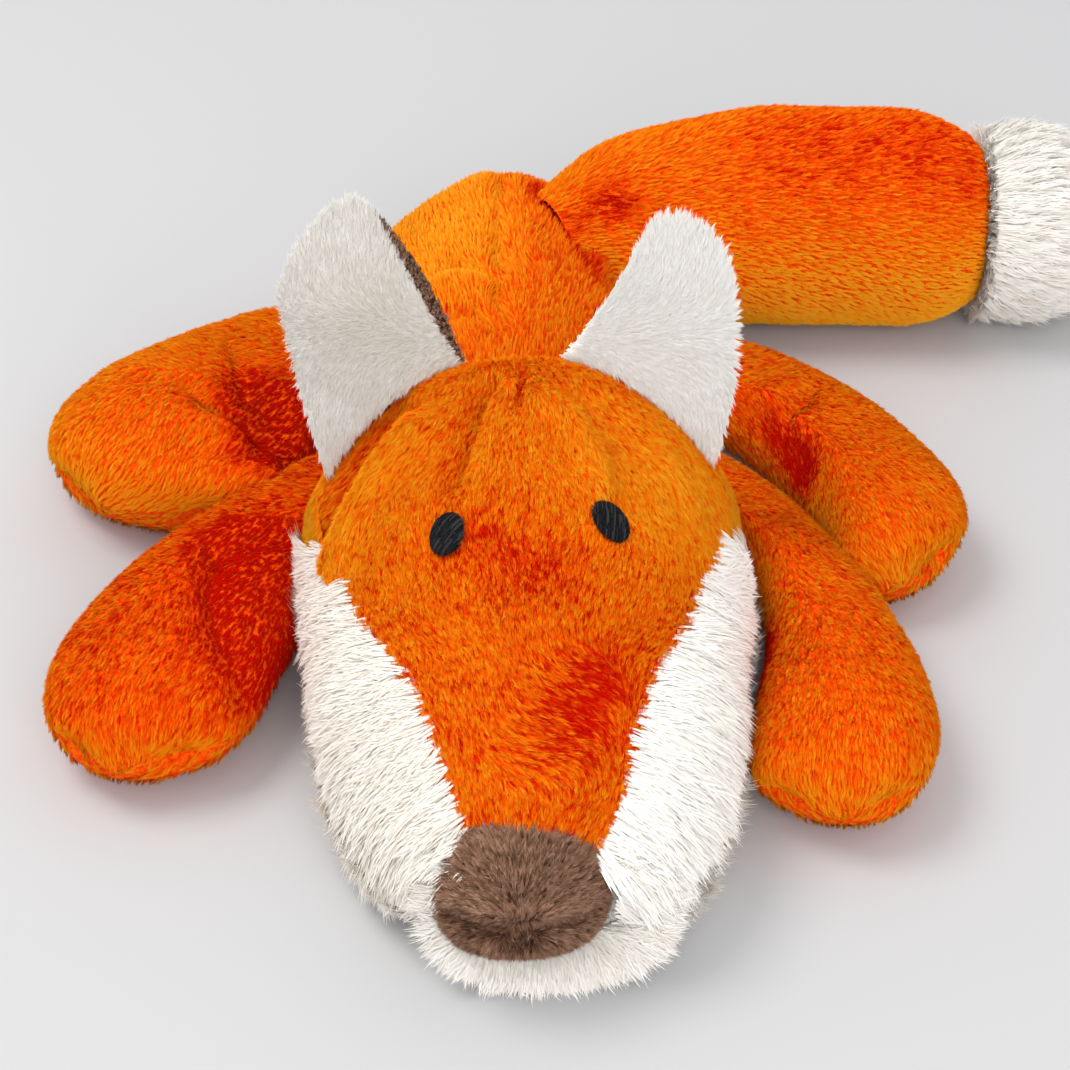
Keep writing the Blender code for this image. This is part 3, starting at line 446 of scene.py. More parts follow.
def spikes(line, normal, lean, width, shade, roll):
    """Short pile: each strand is a three-sided spike. Returns points, corners, faces' starts, UV and normals."""
    count = len(line)
    way = unit(line[:, 1] - line[:, 0])
    first = unit(np.cross(way, normal))
    second = np.cross(way, first)
    turn = (SPIKE_TURNS + roll)[..., None]
    radial = first[:, None] * np.cos(turn) + second[:, None] * np.sin(turn)
    points = np.empty((count, 4, 3))
    points[:, :3] = line[:, :1] + radial * (width * 0.55)[:, None, None]
    points[:, 3] = line[:, 1]
    normals = np.empty_like(points)
    normals[:, :3] = unit(lean[:, None] + radial * 0.75)
    normals[:, 3] = lean
    uv = np.zeros((count, 4, 2))
    uv[:, 3, 0] = 1
    uv[..., 1] = shade[:, None] + np.array((-0.004, 0.004, 0, 0.001))
    corners = np.array((0, 1, 3, 1, 2, 3, 2, 0, 3))
    return points, corners, np.array((0, 3, 6)), uv, normals


def ribbons(line, normal, lean, width, shade, roll):
    """Long pile: each strand is a curved ribbon that tapers to a tip."""
    count, knots = line.shape[:2]
    spans = knots - 1
    each = 2 * spans + 1
    first = unit(line[:, 1] - line[:, 0])
    side = unit(np.cross(first, normal))
    roll = roll * 0.3
    side = side * np.cos(roll) + np.cross(first, side) * np.sin(roll)
    across = side * width[:, None]
    points = np.empty((count, each, 3))
    uv = np.empty((count, each, 2))
    for k in range(spans):
        half = across * (0.5 * (1 - 0.35 * k / spans))
        points[:, 2 * k] = line[:, k] - half
        points[:, 2 * k + 1] = line[:, k] + half
        uv[:, 2 * k:2 * k + 2, 0] = k / spans
        uv[:, 2 * k, 1] = shade - 0.004
        uv[:, 2 * k + 1, 1] = shade + 0.004
    points[:, -1] = line[:, -1]
    uv[:, -1, 0] = 1
    uv[:, -1, 1] = shade
    normals = np.repeat(lean[:, None], each, axis=1)
    corners = []
    for k in range(spans - 1):
        corners += [2 * k, 2 * k + 1, 2 * k + 3, 2 * k + 2]
    corners += [each - 3, each - 2, each - 1]
    sizes = np.array([4] * (spans - 1) + [3])
    return points, np.array(corners), np.cumsum(sizes) - sizes, uv, normals


# Painted sheen: the orange pile's tone is raised on steep sides, lighter and more golden, standing in for light caught
# at grazing angles.
PAINTED_SIDE_SHEEN = 0.20
TUFT_ALONG, TUFT_ACROSS = 1.9, 0.6


def fur(name, sheet, count, material, nap, seed, length=0.0028, width=0.00026, lift=26, flatten=0.45, tuft=11,
        radius=0.0006, gather=0.4, swirl=0.13, untidy=0.07, tone_spread=0.15, shade=None, mask=None, spans=1,
        pieces=1, grow=None, glint=0.10):
    """Pile: tufts of strands combed along nap, which gives a way for each point of the sheet."""
    rng = np.random.default_rng(seed)
    tufts = max(1, count // tuft)
    centre, normal, soft = scatter(sheet, tufts, rng, mask)
    way = nap(centre, normal)
    way = unit(way - normal * (way * normal).sum(-1, keepdims=True))
    aside = np.cross(normal, way)
    angle = rng.normal(0, swirl, (tufts, 1))
    comb = way * np.cos(angle) + aside * np.sin(angle)
    rise = np.radians(lift) * (1 + rng.normal(0, 0.14, (tufts, 1)))
    size = length * (1 + rng.normal(0, 0.12, tufts))
    if grow is not None:
        size = size * grow(centre)
    tone = 0.5 + rng.normal(0, tone_spread, tufts)
    # Painted sheen on the steep sides of the orange pile.
    if material == ORANGE_PILE:
        tone = tone + PAINTED_SIDE_SHEEN * (1 - np.clip(normal[:, 2], 0, 1)) ** 2
    if shade is not None:
        tone = tone + shade(centre)

    def spread(values):
        return np.repeat(values, tuft, axis=0)
    centre, normal, soft, way, aside, comb, rise, size, tone = map(
        spread, (centre, normal, soft, way, aside, comb, rise, size, tone))
    total = len(centre)
    reach = radius * np.sqrt(rng.uniform(size=(total, 1)))
    round_angle = rng.uniform(0, 2 * PI, (total, 1))
    offset = (way * np.cos(round_angle) * TUFT_ALONG + aside * np.sin(round_angle) * TUFT_ACROSS) * reach
    size = size * rng.uniform(0.75, 1.12, total)
    lines = np.empty((total, spans + 1, 3))
    lines[:, 0] = centre + offset - normal * 0.0004
    for k in range(spans):
        part = k / max(spans - 1, 1)
        tilt = rise * (1 + (flatten - 1) * part)
        step = normal * np.sin(tilt) + comb * np.cos(tilt)
        step = unit(step + rng.normal(0, untidy, (total, 3)))
        lines[:, k + 1] = lines[:, k] + step * (size / spans)[:, None] - offset * (gather / spans)
    tone = np.clip(tone + rng.normal(0, 0.06, total), 0.02, 0.98)
    wide = width * rng.uniform(0.75, 1.25, total)
    lean = unit(soft + rng.normal(0, glint, (total, 3)))
    roll = rng.normal(0, 0.5, (total, 1))
    build = spikes if spans == 1 else ribbons
    made = []
    for part in range(pieces):
        rows = slice(part, None, pieces)
        points, corners, faces, uv, normals = build(
            lines[rows], normal[rows], lean[rows], wide[rows], tone[rows], roll[rows])
        points[..., 2] = np.maximum(points[..., 2], 0.0002)
        strand = np.arange(len(points))[:, None]
        loops = (strand * points.shape[1] + corners).ravel()
        starts = (strand * len(corners) + faces).ravel()
        label = name if pieces == 1 else f"{name}_{part + 1}"
        mesh = new_mesh(label, points.reshape(-1, 3), loops, starts, uv.reshape(-1, 2)[loops], normals.reshape(-1, 3))
        made.append(link(label, mesh, material))
    return made


# Materials

def ramp(nodes, stops):
    node = nodes.new("ShaderNodeValToRGB")
    elements = node.color_ramp.elements
    while len(elements) < len(stops):
        elements.new(0.5)
    for element, (place, colour) in zip(elements, stops):
        element.position = place
        element.color = (*colour, 1)
    return node


def base_material(name, roughness, sheen, sheen_tint):
    material = bpy.data.materials.new(name)
    material.use_nodes = True
    shader = material.node_tree.nodes["Principled BSDF"]
    shader.inputs["Roughness"].default_value = roughness
    shader.inputs["Specular IOR Level"].default_value = 0.04
    shader.inputs["Sheen Weight"].default_value = sheen
    shader.inputs["Sheen Roughness"].default_value = 0.4
    shader.inputs["Sheen Tint"].default_value = (*sheen_tint, 1)
    return material, material.node_tree.nodes, material.node_tree.links, shader


def pile_material(name, roots, tips, sheen_tint, roughness=0.8, sheen=0.15):
    """A strand's colour: from its root to its tip along U, and from strand to strand along V. The roots are darker and
    redder than the tips: painted shade deep in the pile. The low end of V, darker, also carries the painted shade that
    the tone functions put in hollows and folds.
    """
    material, nodes, links, shader = base_material(name, roughness, sheen, sheen_tint)
    uv = nodes.new("ShaderNodeUVMap")
    uv.uv_map = "OFBake"
    split = nodes.new("ShaderNodeSeparateXYZ")
    links.new(uv.outputs["UV"], split.inputs[0])
    low, high = ramp(nodes, roots), ramp(nodes, tips)
    links.new(split.outputs["Y"], low.inputs[0])
    links.new(split.outputs["Y"], high.inputs[0])
    mix = nodes.new("ShaderNodeMix")
    mix.data_type = "RGBA"
    links.new(split.outputs["X"], mix.inputs[0])
    links.new(low.outputs[0], mix.inputs[6])
    links.new(high.outputs[0], mix.inputs[7])
    links.new(mix.outputs[2], shader.inputs["Base Color"])
    return material


def cloth_material(name, stops, sheen_tint, scale=900, bump=0.35):
    """The knitted ground of the plush, with fine noise for the roots of the pile."""
    material, nodes, links, shader = base_material(name, 0.9, 0.15, sheen_tint)
    place = nodes.new("ShaderNodeTexCoord")
    fine = nodes.new("ShaderNodeTexNoise")
    fine.inputs["Scale"].default_value = scale
    fine.inputs["Detail"].default_value = 3
    links.new(place.outputs["Object"], fine.inputs["Vector"])
    colours = ramp(nodes, stops)
    links.new(fine.outputs["Fac"], colours.inputs[0])
    links.new(colours.outputs[0], shader.inputs["Base Color"])
    raised = nodes.new("ShaderNodeBump")
    raised.inputs["Strength"].default_value = bump
    raised.inputs["Distance"].default_value = 0.0006
    links.new(fine.outputs["Fac"], raised.inputs["Height"])
    links.new(raised.outputs[0], shader.inputs["Normal"])
    return material


ORANGE_PILE = pile_material(
    "orange_pile",
    ((0.0, (0.58, 0.002, 0.0)), (0.12, (0.64, 0.006, 0.0)), (0.28, (0.92, 0.04, 0.0)), (0.6, (0.99, 0.12, 0.002)),
     (1.0, (1.0, 0.24, 0.004))),
    ((0.0, (0.66, 0.003, 0.0)), (0.12, (0.72, 0.012, 0.0)), (0.24, (0.97, 0.10, 0.001)), (0.45, (1.0, 0.28, 0.003)),
     (0.7, (1.0, 0.40, 0.007)), (1.0, (1.0, 0.54, 0.025))),
    (1.0, 0.35, 0.02), 0.85, 0.12)
WHITE_PILE = pile_material(
    "white_pile",
    ((0.0, (0.84, 0.77, 0.68)), (0.5, (0.95, 0.91, 0.85)), (1.0, (0.97, 0.95, 0.91))),
    ((0.0, (0.86, 0.79, 0.70)), (0.5, (0.96, 0.93, 0.87)), (1.0, (0.98, 0.96, 0.93))),
    (1.0, 1.0, 1.0), 0.8, 0.05)
EAR_PILE = pile_material(
    "ear_pile",
    ((0.0, (0.76, 0.71, 0.62)), (0.5, (0.93, 0.90, 0.84)), (1.0, (0.97, 0.95, 0.91))),
    ((0.0, (0.82, 0.77, 0.69)), (0.5, (0.96, 0.94, 0.89)), (1.0, (0.98, 0.97, 0.95))),
    (1.0, 1.0, 1.0), 0.8, 0.05)
BROWN_PILE = pile_material(
    "brown_pile",
    ((0.0, (0.02, 0.008, 0.005)), (0.5, (0.11, 0.052, 0.030)), (1.0, (0.24, 0.13, 0.085))),
    ((0.0, (0.05, 0.022, 0.013)), (0.5, (0.37, 0.19, 0.115)), (1.0, (0.70, 0.44, 0.31))),
    (0.8, 0.5, 0.4), 0.8, 0.05)
# Each ground is darker than its pile, and the orange one redder: painted shade at the bottom of the pile.
ORANGE_CLOTH = cloth_material("orange_ground", ((0.35, (0.78, 0.03, 0.0)), (0.65, (0.95, 0.13, 0.002))), (1, 0.4, 0.1))
WHITE_CLOTH = cloth_material("white_ground", ((0.35, (0.82, 0.77, 0.70)), (0.65, (0.92, 0.89, 0.84))), (1, 1, 1))
BROWN_CLOTH = cloth_material(
    "brown_ground", ((0.35, (0.03, 0.015, 0.01)), (0.65, (0.10, 0.055, 0.04))), (0.8, 0.6, 0.5))
ORANGE = (ORANGE_CLOTH, ORANGE_PILE, "orange_plush")
WHITE = (WHITE_CLOTH, WHITE_PILE, "white_plush")
BROWN = (BROWN_CLOTH, BROWN_PILE, "brown_plush")
EYE_THREAD = pile_material(
    "eye_thread",
    ((0.0, (0.006, 0.006, 0.006)), (0.6, (0.015, 0.015, 0.016)), (1.0, (0.05, 0.05, 0.05))),
    ((0.0, (0.006, 0.006, 0.007)), (0.6, (0.012, 0.012, 0.014)), (1.0, (0.06, 0.06, 0.065))),
    (0.6, 0.6, 0.6), 0.3, 0.0)
EYE_GROUND = cloth_material("eye_ground", ((0.3, (0.003, 0.003, 0.004)), (0.7, (0.012, 0.012, 0.016))), (0.5, 0.5, 0.6))


def dress(objects, body, slot, *nodes, bend=None):
    """Rides pieces on their body; given a bend, bakes their place into their meshes instead. Hides the nodes' CAD
    parts.
    """
    for obj in objects:
        if bend:
            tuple(bend[1])
            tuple(bend[2])
            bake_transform(obj)
        else:
            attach(obj, body)
    if nodes:
        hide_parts(*nodes)


def cover(name, sheet, plush, body, nodes, count, nap, seed, **pile):
    """A padded piece of one plush: its cloth and its pile, which stand for the nodes."""
    cloth, strands, slot = plush
    ground = skin(name + "_skin", sheet, cloth)
    dress([ground, *fur(name + "_pile", sheet, count, strands, nap, seed, **pile)], body, slot, *nodes)


def even(tone):
    """The same tone over a whole piece."""
    return lambda points: np.full(len(points), tone)


def towards(x, y, z):
    def nap(points, normals):
        return np.broadcast_to(np.array((x, y, z), float), points.shape).copy()
    return nap


# Head

VALLEY = route(-70, -1050, 797, -115, -1200, 755, -154, -1322, 712)
TENT_LEFT = route(-20, -1050, 800, -68, -1190, 765, -105, -1330, 722)
TENT_RIGHT = route(64, -1101, 794, 131, -1143, 776, 208, -1271, 721, 220, -1347, 693)
LEFT_RIDGE = route(-265, -1136, 733, -360, -1230, 655, -444, -1338, 536, -480, -1410, 450)
LEFT_HOLLOW = route(-310, -1060, 715, -410, -1160, 610, -495, -1270, 500)
RIGHT_RIDGE = route(370, -1170, 672, 450, -1280, 565)
DART = route(10, -1000, 804, 12, -1127, 791)
FACE_FOLDS = (
    (VALLEY, -0.0052, 0.0042),
    (TENT_LEFT, 0.0024, 0.0030),
    (TENT_RIGHT, 0.0028, 0.0032),
    (route(190, -1080, 770, 290, -1200, 705), -0.0026, 0.0060),
    (LEFT_RIDGE, 0.0028, 0.0036),
    (LEFT_HOLLOW, -0.0040, 0.0056),
    (RIGHT_RIDGE, 0.0014, 0.0034),
    (DART, -0.0026, 0.0014),
    (route(-23, -1523, 663), -0.0020, 0.0120),
    (route(145, -1970, 504), -0.0026, 0.0100),
    (route(45, -1830, 540, 60, -1700, 590), 0.0012, 0.0070),
)


def face_sheet():
    def gusset(a, b):
        limit = gusset_turn(np.array(CHEEK_BACK))
        run = b * crown_run((2 * a - 1) * limit)
        return head_surface((2 * a - 1) * gusset_turn(run), run)
    sheet = Sheet(grid(gusset, 190, 220))
    sheet.push(0.0004 * lumps(sheet.points, 0.020, 3))
    return sheet.fold(*FACE_FOLDS).lit(0, -0.10, 0.45, 1.0)


def face_shade(points):
    """Painted shade, redder, in the hollows and beside the muzzle; painted highlights, lighter, on the ridges, at the
    edges and in a broad patch on the fox's left forehead.
    """
    # Painted shade, redder, beside the muzzle and in the valley, hollow and dart.
    red = 0.9 * bell(points, route(-80, -1500, 660, 60, -1580, 640), 0.011)
    red += 1.2 * bell(points, route(190, -1860, 520, 145, -1970, 504), 0.011)
    red += 1.4 * bell(points, VALLEY, 0.0034) + 1.1 * bell(points, LEFT_HOLLOW, 0.0055)
    red += 1.6 * bell(points, DART, 0.0015)
    # Painted highlights on the raised ridges.
    bright = bell(points, TENT_RIGHT, 0.0026) + bell(points, LEFT_RIDGE, 0.0030) + 0.6 * bell(points, TENT_LEFT, 0.002)
    bright += 0.5 * bell(points, RIGHT_RIDGE, 0.003)
    from_nose = np.linalg.norm(points - np.array((-0.002, -0.222, 0.040)), axis=1)
    arcs = np.sin(from_nose / 0.0026 * 2 * PI) * bell(points, route(40, -2090, 450), 0.010)
    muzzle = ramp_up(-points[:, 1], 0.13, 0.19)
    # A broad painted highlight on the fox's left forehead.
    broad = bell(points, route(360, -1280, 620), 0.017)
    return 0.05 * lumps(points, 0.010, 11) - 0.30 * red + 0.26 * bright + 0.14 * arcs - 0.12 * muzzle + 0.16 * broad


def face_nap(points, normals):
    """Fanned out down the forehead, drawn together down the muzzle, and flat arcs over the nose."""
    down = ramp_up(-points[:, 1], 0.125, 0.175)
    arcs = 2.2 * bell(points, route(160, -1880, 520, 60, -2040, 460), 0.010)
    way = np.zeros_like(points)
    way[:, 1] = -1
    way[:, 0] = points[:, 0] / 0.05 * (0.9 - 1.9 * down) + 0.22 * lumps(points, 0.03, 21) + arcs
    return way


def eye_mask(points, normals):
    eyes = bell(points, (EYES[0][0],), 0.0047) + bell(points, (EYES[1][0],), 0.0047)
    return 1 - 0.97 * np.clip(eyes * 1.6, 0, 1)


def make_face():
    cover("face", face_sheet(), ORANGE, "head", ("face_gusset",), 230000, face_nap, 1, shade=face_shade, mask=eye_mask,
          pieces=4, width=0.00024, lift=23, tone_spread=0.17)


def on_head(x, y):
    """The point of the head's upper side over a place, with its outward direction."""
    run = np.linspace(0, CROWN_BACK, 400)
    turn = np.linspace(-0.38 * PI, 0.38 * PI, 401)
    points = head_surface(turn[:, None] + 0 * run, run + 0 * turn[:, None])
    sheet = Sheet(points)
    near = np.argmin((points[..., 0] - x) ** 2 + (points[..., 1] - y) ** 2)
    return points.reshape(-1, 3)[near], sheet.normals.reshape(-1, 3)[near]


EYES = (on_head(0.0235, -0.1447), on_head(-0.0164, -0.1489))


def white_end(a):
    """How far back the white cheek reaches: it slopes away from the face."""
    return 0.605 + (CHEEK_BACK - 0.605) * np.minimum(1, a / 0.42)


def make_cheeks():
    for name, side in (("cheek_left", 1), ("cheek_right", -1)):
        def place(a, run, side=side):
            low, high = gusset_turn(run) - 0.012 * PI, CHEEK_UNDER * PI
            return head_surface(side * (low + (high - low) * a), run)

        def cheek(a, b):
            return place(a, b * white_end(a))

        def corner(a, b):
            end = white_end(a * 0.42)
            return place(a * 0.42, end + (CHEEK_BACK - end) * b)
        sheet = Sheet(grid(cheek, 110, 140), middle=(0, -0.14, 0.03))
        back = ramp_up(sheet.points[..., 1], -0.235, -0.16)
        puff = np.sin(PI * np.linspace(0, 1, 111)[:, None] ** 0.7)
        sheet.push(0.0003 + (0.0032 - 0.0022 * back) * puff + 0.0010 * lumps(sheet.points, 0.03, 5) * puff)

        def nap(points, normals, side=side):
            front = 1 - ramp_up(points[:, 1], -0.235, -0.170)
            top = ramp_up(points[:, 1], -0.165, -0.135)
            way = np.zeros_like(points)
            way[:, 0] = side * 0.9
            way[:, 1] = -0.75 * front + 0.30 * lumps(points, 0.03, 31)
            way[:, 2] = -0.45 + 0.52 * top
            return way

        def grow(points, side=side):
            edge = 0.55 + 0.45 * ramp_up(np.abs(points[:, 0]) - 0.9 * gusset_edge_x(points[:, 1]), 0.0, 0.010)
            muzzle = 1 - ramp_up(points[:, 1], -0.225, -0.180)
            tall = ramp_up(points[:, 1], -0.165, -0.125)
            end = ramp_up(points[:, 1], -0.138, -0.112)
            return edge * (1.0 + 0.26 * muzzle + (-0.10 if side > 0 else 0.12) * tall - 0.42 * end)

        # The fox's right cheek is toned darker than the left: painted shade on that side.
        cover(name, sheet, WHITE, "head", (name,), 60000, nap, 40 + side, length=0.0094, width=0.00056, lift=23,
              tuft=20, radius=0.0026, gather=0.10, swirl=0.20, untidy=0.08, tone_spread=0.10, spans=3, pieces=2,
              grow=grow, glint=0.03, shade=even(0.10 if side > 0 else -0.30))
        patch = Sheet(grid(corner, 36, 30), middle=(0, -0.14, 0.03))
        patch.push(np.full(patch.points.shape[:-1], 0.0002))
        cover(name + "_corner", patch, ORANGE, "head", (), 12000, towards(side * 0.4, -0.6, -0.5), 45 + side,
              shade=even(0.12))


def gusset_edge_x(y):
    """How far from the middle the seam between the face and the cheek lies, by its place along the head."""
    run = np.linspace(0, CHEEK_BACK, 60)
    edge = head_surface(gusset_turn(run), run)
    order = np.argsort(edge[:, 1])
    return np.interp(y, edge[order, 1], edge[order, 0])


def make_chin():
    def chin(a, b):
        limit = PI * (1 - CHEEK_UNDER)
        return head_surface(PI + (2 * a - 1) * limit, b * CHEEK_BACK)

    def bib(a, b):
        """A soft lip of white plush under and beside the nose."""
        turn = PI + (2 * a - 1) * 0.74 * PI
        rim = head_surface(turn, np.full_like(turn, 0.02))
        low = np.clip(-np.cos(turn), 0, 1)
        reach = 0.0056 * low ** 0.6 * (1 - b)
        drop = 0.0035 * (1 - b) ** 2 * low
        wide = 1 + (1 - b) * (0.13 + 0.23 * ramp_up(-np.cos(turn), -0.8, 0.1))
        middle = NOSE_CENTRE[0]
        height = np.maximum(rim[..., 2] - drop, 0.0015)
        return stack(middle + (rim[..., 0] - middle) * wide, rim[..., 1] - reach, height)

    def forwards(points, normals):
        high = ramp_up(points[:, 2], 0.012, 0.030)
        way = np.zeros_like(points)
        way[:, 0] = (points[:, 0] - NOSE_CENTRE[0]) / 0.018
        way[:, 1] = -1.1 + 0.9 * high
        way[:, 2] = -0.35 + 0.3 * high
        return way
    sheet = Sheet(grid(chin, 40, 90))
    lip = Sheet(grid(bib, 70, 24), middle=(NOSE_CENTRE[0], -0.225, -0.03))
    ground = skin("chin_skin", sheet, WHITE_CLOTH)
    lip_ground = skin("chin_lip_skin", lip, WHITE_CLOTH)
    pile = fur("chin_pile", sheet, 14000, WHITE_PILE, towards(0, -1, 0), 51, length=0.007, width=0.00032, lift=30,
               tuft=20, radius=0.0016, gather=0.7, swirl=0.5, untidy=0.2, spans=2)
    fringe = fur("chin_fringe", lip, 32000, WHITE_PILE, forwards, 52, length=0.0086, width=0.00042, lift=32,
                 flatten=-0.3, tuft=26, radius=0.0016, gather=0.6, swirl=0.38, untidy=0.14, tone_spread=0.16, spans=3,
                 glint=0.06)
    dress([ground, *pile, lip_ground, *fringe], "head", "white_plush", "chin_panel")


def make_head_back():
    def back(a, b):
        turn = PI * (2 * a - 1)
        low = crown_run(turn)
        return head_surface(turn, low + (0.99 - low) * b)
    sheet = Sheet(grid(back, 120, 30), closed=True).lit(0, -1.1, 1.6, 1.0)
    cover("head_back", sheet, ORANGE, "head", ("head_back", "head_filling"), 34000, towards(0, 0.2, 1), 61,
          length=0.0024, shade=even(0.05))


NOSE_CENTRE = turned_head(np.array((-0.0046, NECK[1] - HEAD_LENGTH - 0.0003, 0.0262)))
NOSE_ACROSS = np.array((math.cos(HEAD_YAW), math.sin(HEAD_YAW), 0))
NOSE_UP = np.array((0, math.sin(NOSE_LEAN), math.cos(NOSE_LEAN)))
NOSE_OUT = np.cross(NOSE_ACROSS, NOSE_UP)


def on_nose(x, z):
    """A point of the nose's front, by its place across and up."""
    inside = np.clip(1 - (np.asarray(x) / NOSE_HALF_WIDTH) ** 2 - (np.asarray(z) / NOSE_HALF_HEIGHT) ** 2, 0, 1)
    depth = NOSE_DEPTH * np.sqrt(inside)
    return NOSE_CENTRE + NOSE_ACROSS * x + NOSE_UP * z + NOSE_OUT * depth


def make_nose():
    def nose(a, b):
        turn = 2 * PI * a
        bulge = -0.5 + b * (PI / 2 + 0.5)
        c, s = np.cos(turn), np.sin(turn)
        square = (np.abs(c) ** 3 + np.abs(s) ** 3) ** (-1 / 3)
        square = 1 + (square - 1) * 0.55
        x = NOSE_HALF_WIDTH * c * square * np.cos(bulge)
        z = NOSE_HALF_HEIGHT * s * square * np.cos(bulge)
        y = NOSE_DEPTH * np.sin(bulge)
        return NOSE_CENTRE + x[..., None] * NOSE_ACROSS + z[..., None] * NOSE_UP + y[..., None] * NOSE_OUT
    sheet = Sheet(grid(nose, 140, 80), closed=True, middle=NOSE_CENTRE)
    ridge = [on_nose(x, z) for x, z in (
        (-0.0165, -0.0005), (-0.008, -0.0022), (0.0, -0.0028), (0.008, -0.0022), (0.0165, -0.0005))]
    crease = [on_nose(x, z) for x, z in (
        (-0.0160, -0.0035), (-0.008, -0.0054), (0.0, -0.0060), (0.008, -0.0054), (0.0160, -0.0035))]
    pit = [on_nose(-0.001, -0.0060), on_nose(-0.001, -0.0100)]
    sheet.fold((ridge, 0.0022, 0.0026), (crease, -0.0052, 0.0025), (pit, -0.0050, 0.0022), soften=0.2)
    heart = pit[0]

    def nap(points, normals):
        way = points - heart
        way[:, 1] *= 0.4
        return way

    def shade(points):
        # Random flecks, painted shade in the pit and crease, and a painted highlight on the ridge above the crease.
        fleck = 0.10 * lumps(points, 0.004, 71)
        dark = 1.2 * bell(points, pit, 0.0024) + 0.7 * bell(points, crease, 0.0022)
        return fleck - dark + 0.35 * bell(points, ridge, 0.0020)
    cover("nose", sheet, BROWN, "head", ("nose",), 64000, nap, 71, length=0.0022, width=0.00021, lift=44,
          shade=shade, tuft=8, radius=0.0005, gather=0.5, swirl=0.34, untidy=0.11, tone_spread=0.20)


def tube(path, radius, sides=6):
    """The rings of a round thread along a path, slimmer at its ends."""
    path = np.asarray(path, float)
    way = unit(np.gradient(path, axis=0))
    up = unit(np.cross(way, np.array((0.31, 0.17, 0.93))))
    other = np.cross(way, up)
    turn = (np.arange(sides) / sides * 2 * PI)[:, None]
    size = radius * np.sqrt(np.clip(1.02 - np.linspace(-1, 1, len(path)) ** 6, 0.05, 1))
    return path[:, None] + (up[:, None] * np.cos(turn) + other[:, None] * np.sin(turn)) * size[:, None, None]


def make_eye(name, point, normal, lean, seed):
    """Satin stitches laid side by side across an oval, over a dark padded ground."""
    rng = np.random.default_rng(seed)
    upright = np.array((lean, 0.62, 0.35))
    up = unit(upright - normal * (upright @ normal))
    across = np.cross(up, normal)
    half_wide, half_tall, rise = 0.0045, 0.0062, 0.0013

    def raised(x, y):
        inside = np.clip(1 - (x / half_wide) ** 2 - (y / half_tall) ** 2, 0, 1)
        height = 0.0007 + rise * np.sqrt(inside)
        return point + x[..., None] * across + y[..., None] * up + height[..., None] * normal

    def oval(a, b):
        turn = 2 * PI * a
        return raised(half_wide * 0.97 * b * np.cos(turn), half_tall * 0.97 * b * np.sin(turn))
    sheet = Sheet(grid(oval, 48, 12), closed=True)
    ground = skin(name + "_ground", sheet, EYE_GROUND, inset=0.0003)
    points, loops, uv = [], [], []
    slope = math.radians(58)
    along = np.array((math.cos(slope), math.sin(slope)))
    beside = np.array((-along[1], along[0]))
    reach = math.sqrt(half_wide ** 2 * beside[0] ** 2 + half_tall ** 2 * beside[1] ** 2)
    rows_of_thread, count = 34, 0
    for i in range(rows_of_thread):
        offset = (i + 0.5) / rows_of_thread * 2 - 1
        spans = np.linspace(-1, 1, 400)[:, None] * along * 0.009 + beside * offset * reach
        inside = (spans[:, 0] / half_wide) ** 2 + (spans[:, 1] / half_tall) ** 2 < 1
        if not inside.any():
            continue
        first, last = spans[inside][0], spans[inside][-1]
        parts = np.sort(rng.uniform(0.2, 0.8, 2)) if np.linalg.norm(last - first) > 0.004 else np.array(())
        marks = np.concatenate(((-0.04 * rng.uniform(),), parts, (1 + 0.04 * rng.uniform(),)))
        for low, high in zip(marks[:-1], marks[1:]):
            share = np.linspace(low, high, 12)[:, None]
            flat = first + (last - first) * share + beside * rng.normal(0, 0.00003)
            bow = 0.00012 * np.sin(np.linspace(0, PI, 12))
            ring = tube(raised(flat[:, 0], flat[:, 1]) + bow[:, None] * normal, 0.00017)
            rows, sides = ring.shape[:2]
            k, m = np.meshgrid(np.arange(rows - 1), np.arange(sides), indexing="ij")
            a = (count + k * sides + m).ravel()
            b = (count + k * sides + (m + 1) % sides).ravel()
            points.append(ring.reshape(-1, 3))
            loops.append(np.stack((a, b, b + sides, a + sides), 1))
            shade = rng.uniform(0.1, 0.9)
            lengthwise = np.stack((k, k, k + 1, k + 1), -1).reshape(-1, 4) / rows
            crosswise = np.full(lengthwise.shape, shade) + np.array((0, 0.01, 0.01, 0))
            uv.append(np.stack((lengthwise, crosswise), -1))
            count += rows * sides
    points, loops = np.concatenate(points), np.concatenate(loops)
    mesh = new_mesh(name + "_thread", points, loops.ravel(), np.arange(len(loops)) * 4,
                    np.concatenate(uv).reshape(-1, 2))
    thread = link(name + "_thread", mesh, EYE_THREAD)
    for obj in (thread, ground):
        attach(obj, "head")
    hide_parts(name)


# Ears

def ear_base(side, a):
    """The seam of an ear, from its outer end to its inner end. Both ears sit a little towards the fox's right."""
    outer = EAR_OUTER + (0.02 if side > 0 else 0.0)
    turn = (outer + (EAR_INNER - outer) * a) * PI
    run = crown_run(turn) - EAR_FORWARDS * (1 - a)
    turn = side * turn + (EAR_SLIDE if side > 0 else EAR_SLIDE / 2)
    small = 1e-4
    at = head_surface(turn, run)
    across = head_surface(turn + small, run) - head_surface(turn - small, run)
    along = head_surface(turn, run + small) - head_surface(turn, run - small)
    normal = unit(np.cross(across, along))
    return at + normal * 0.001


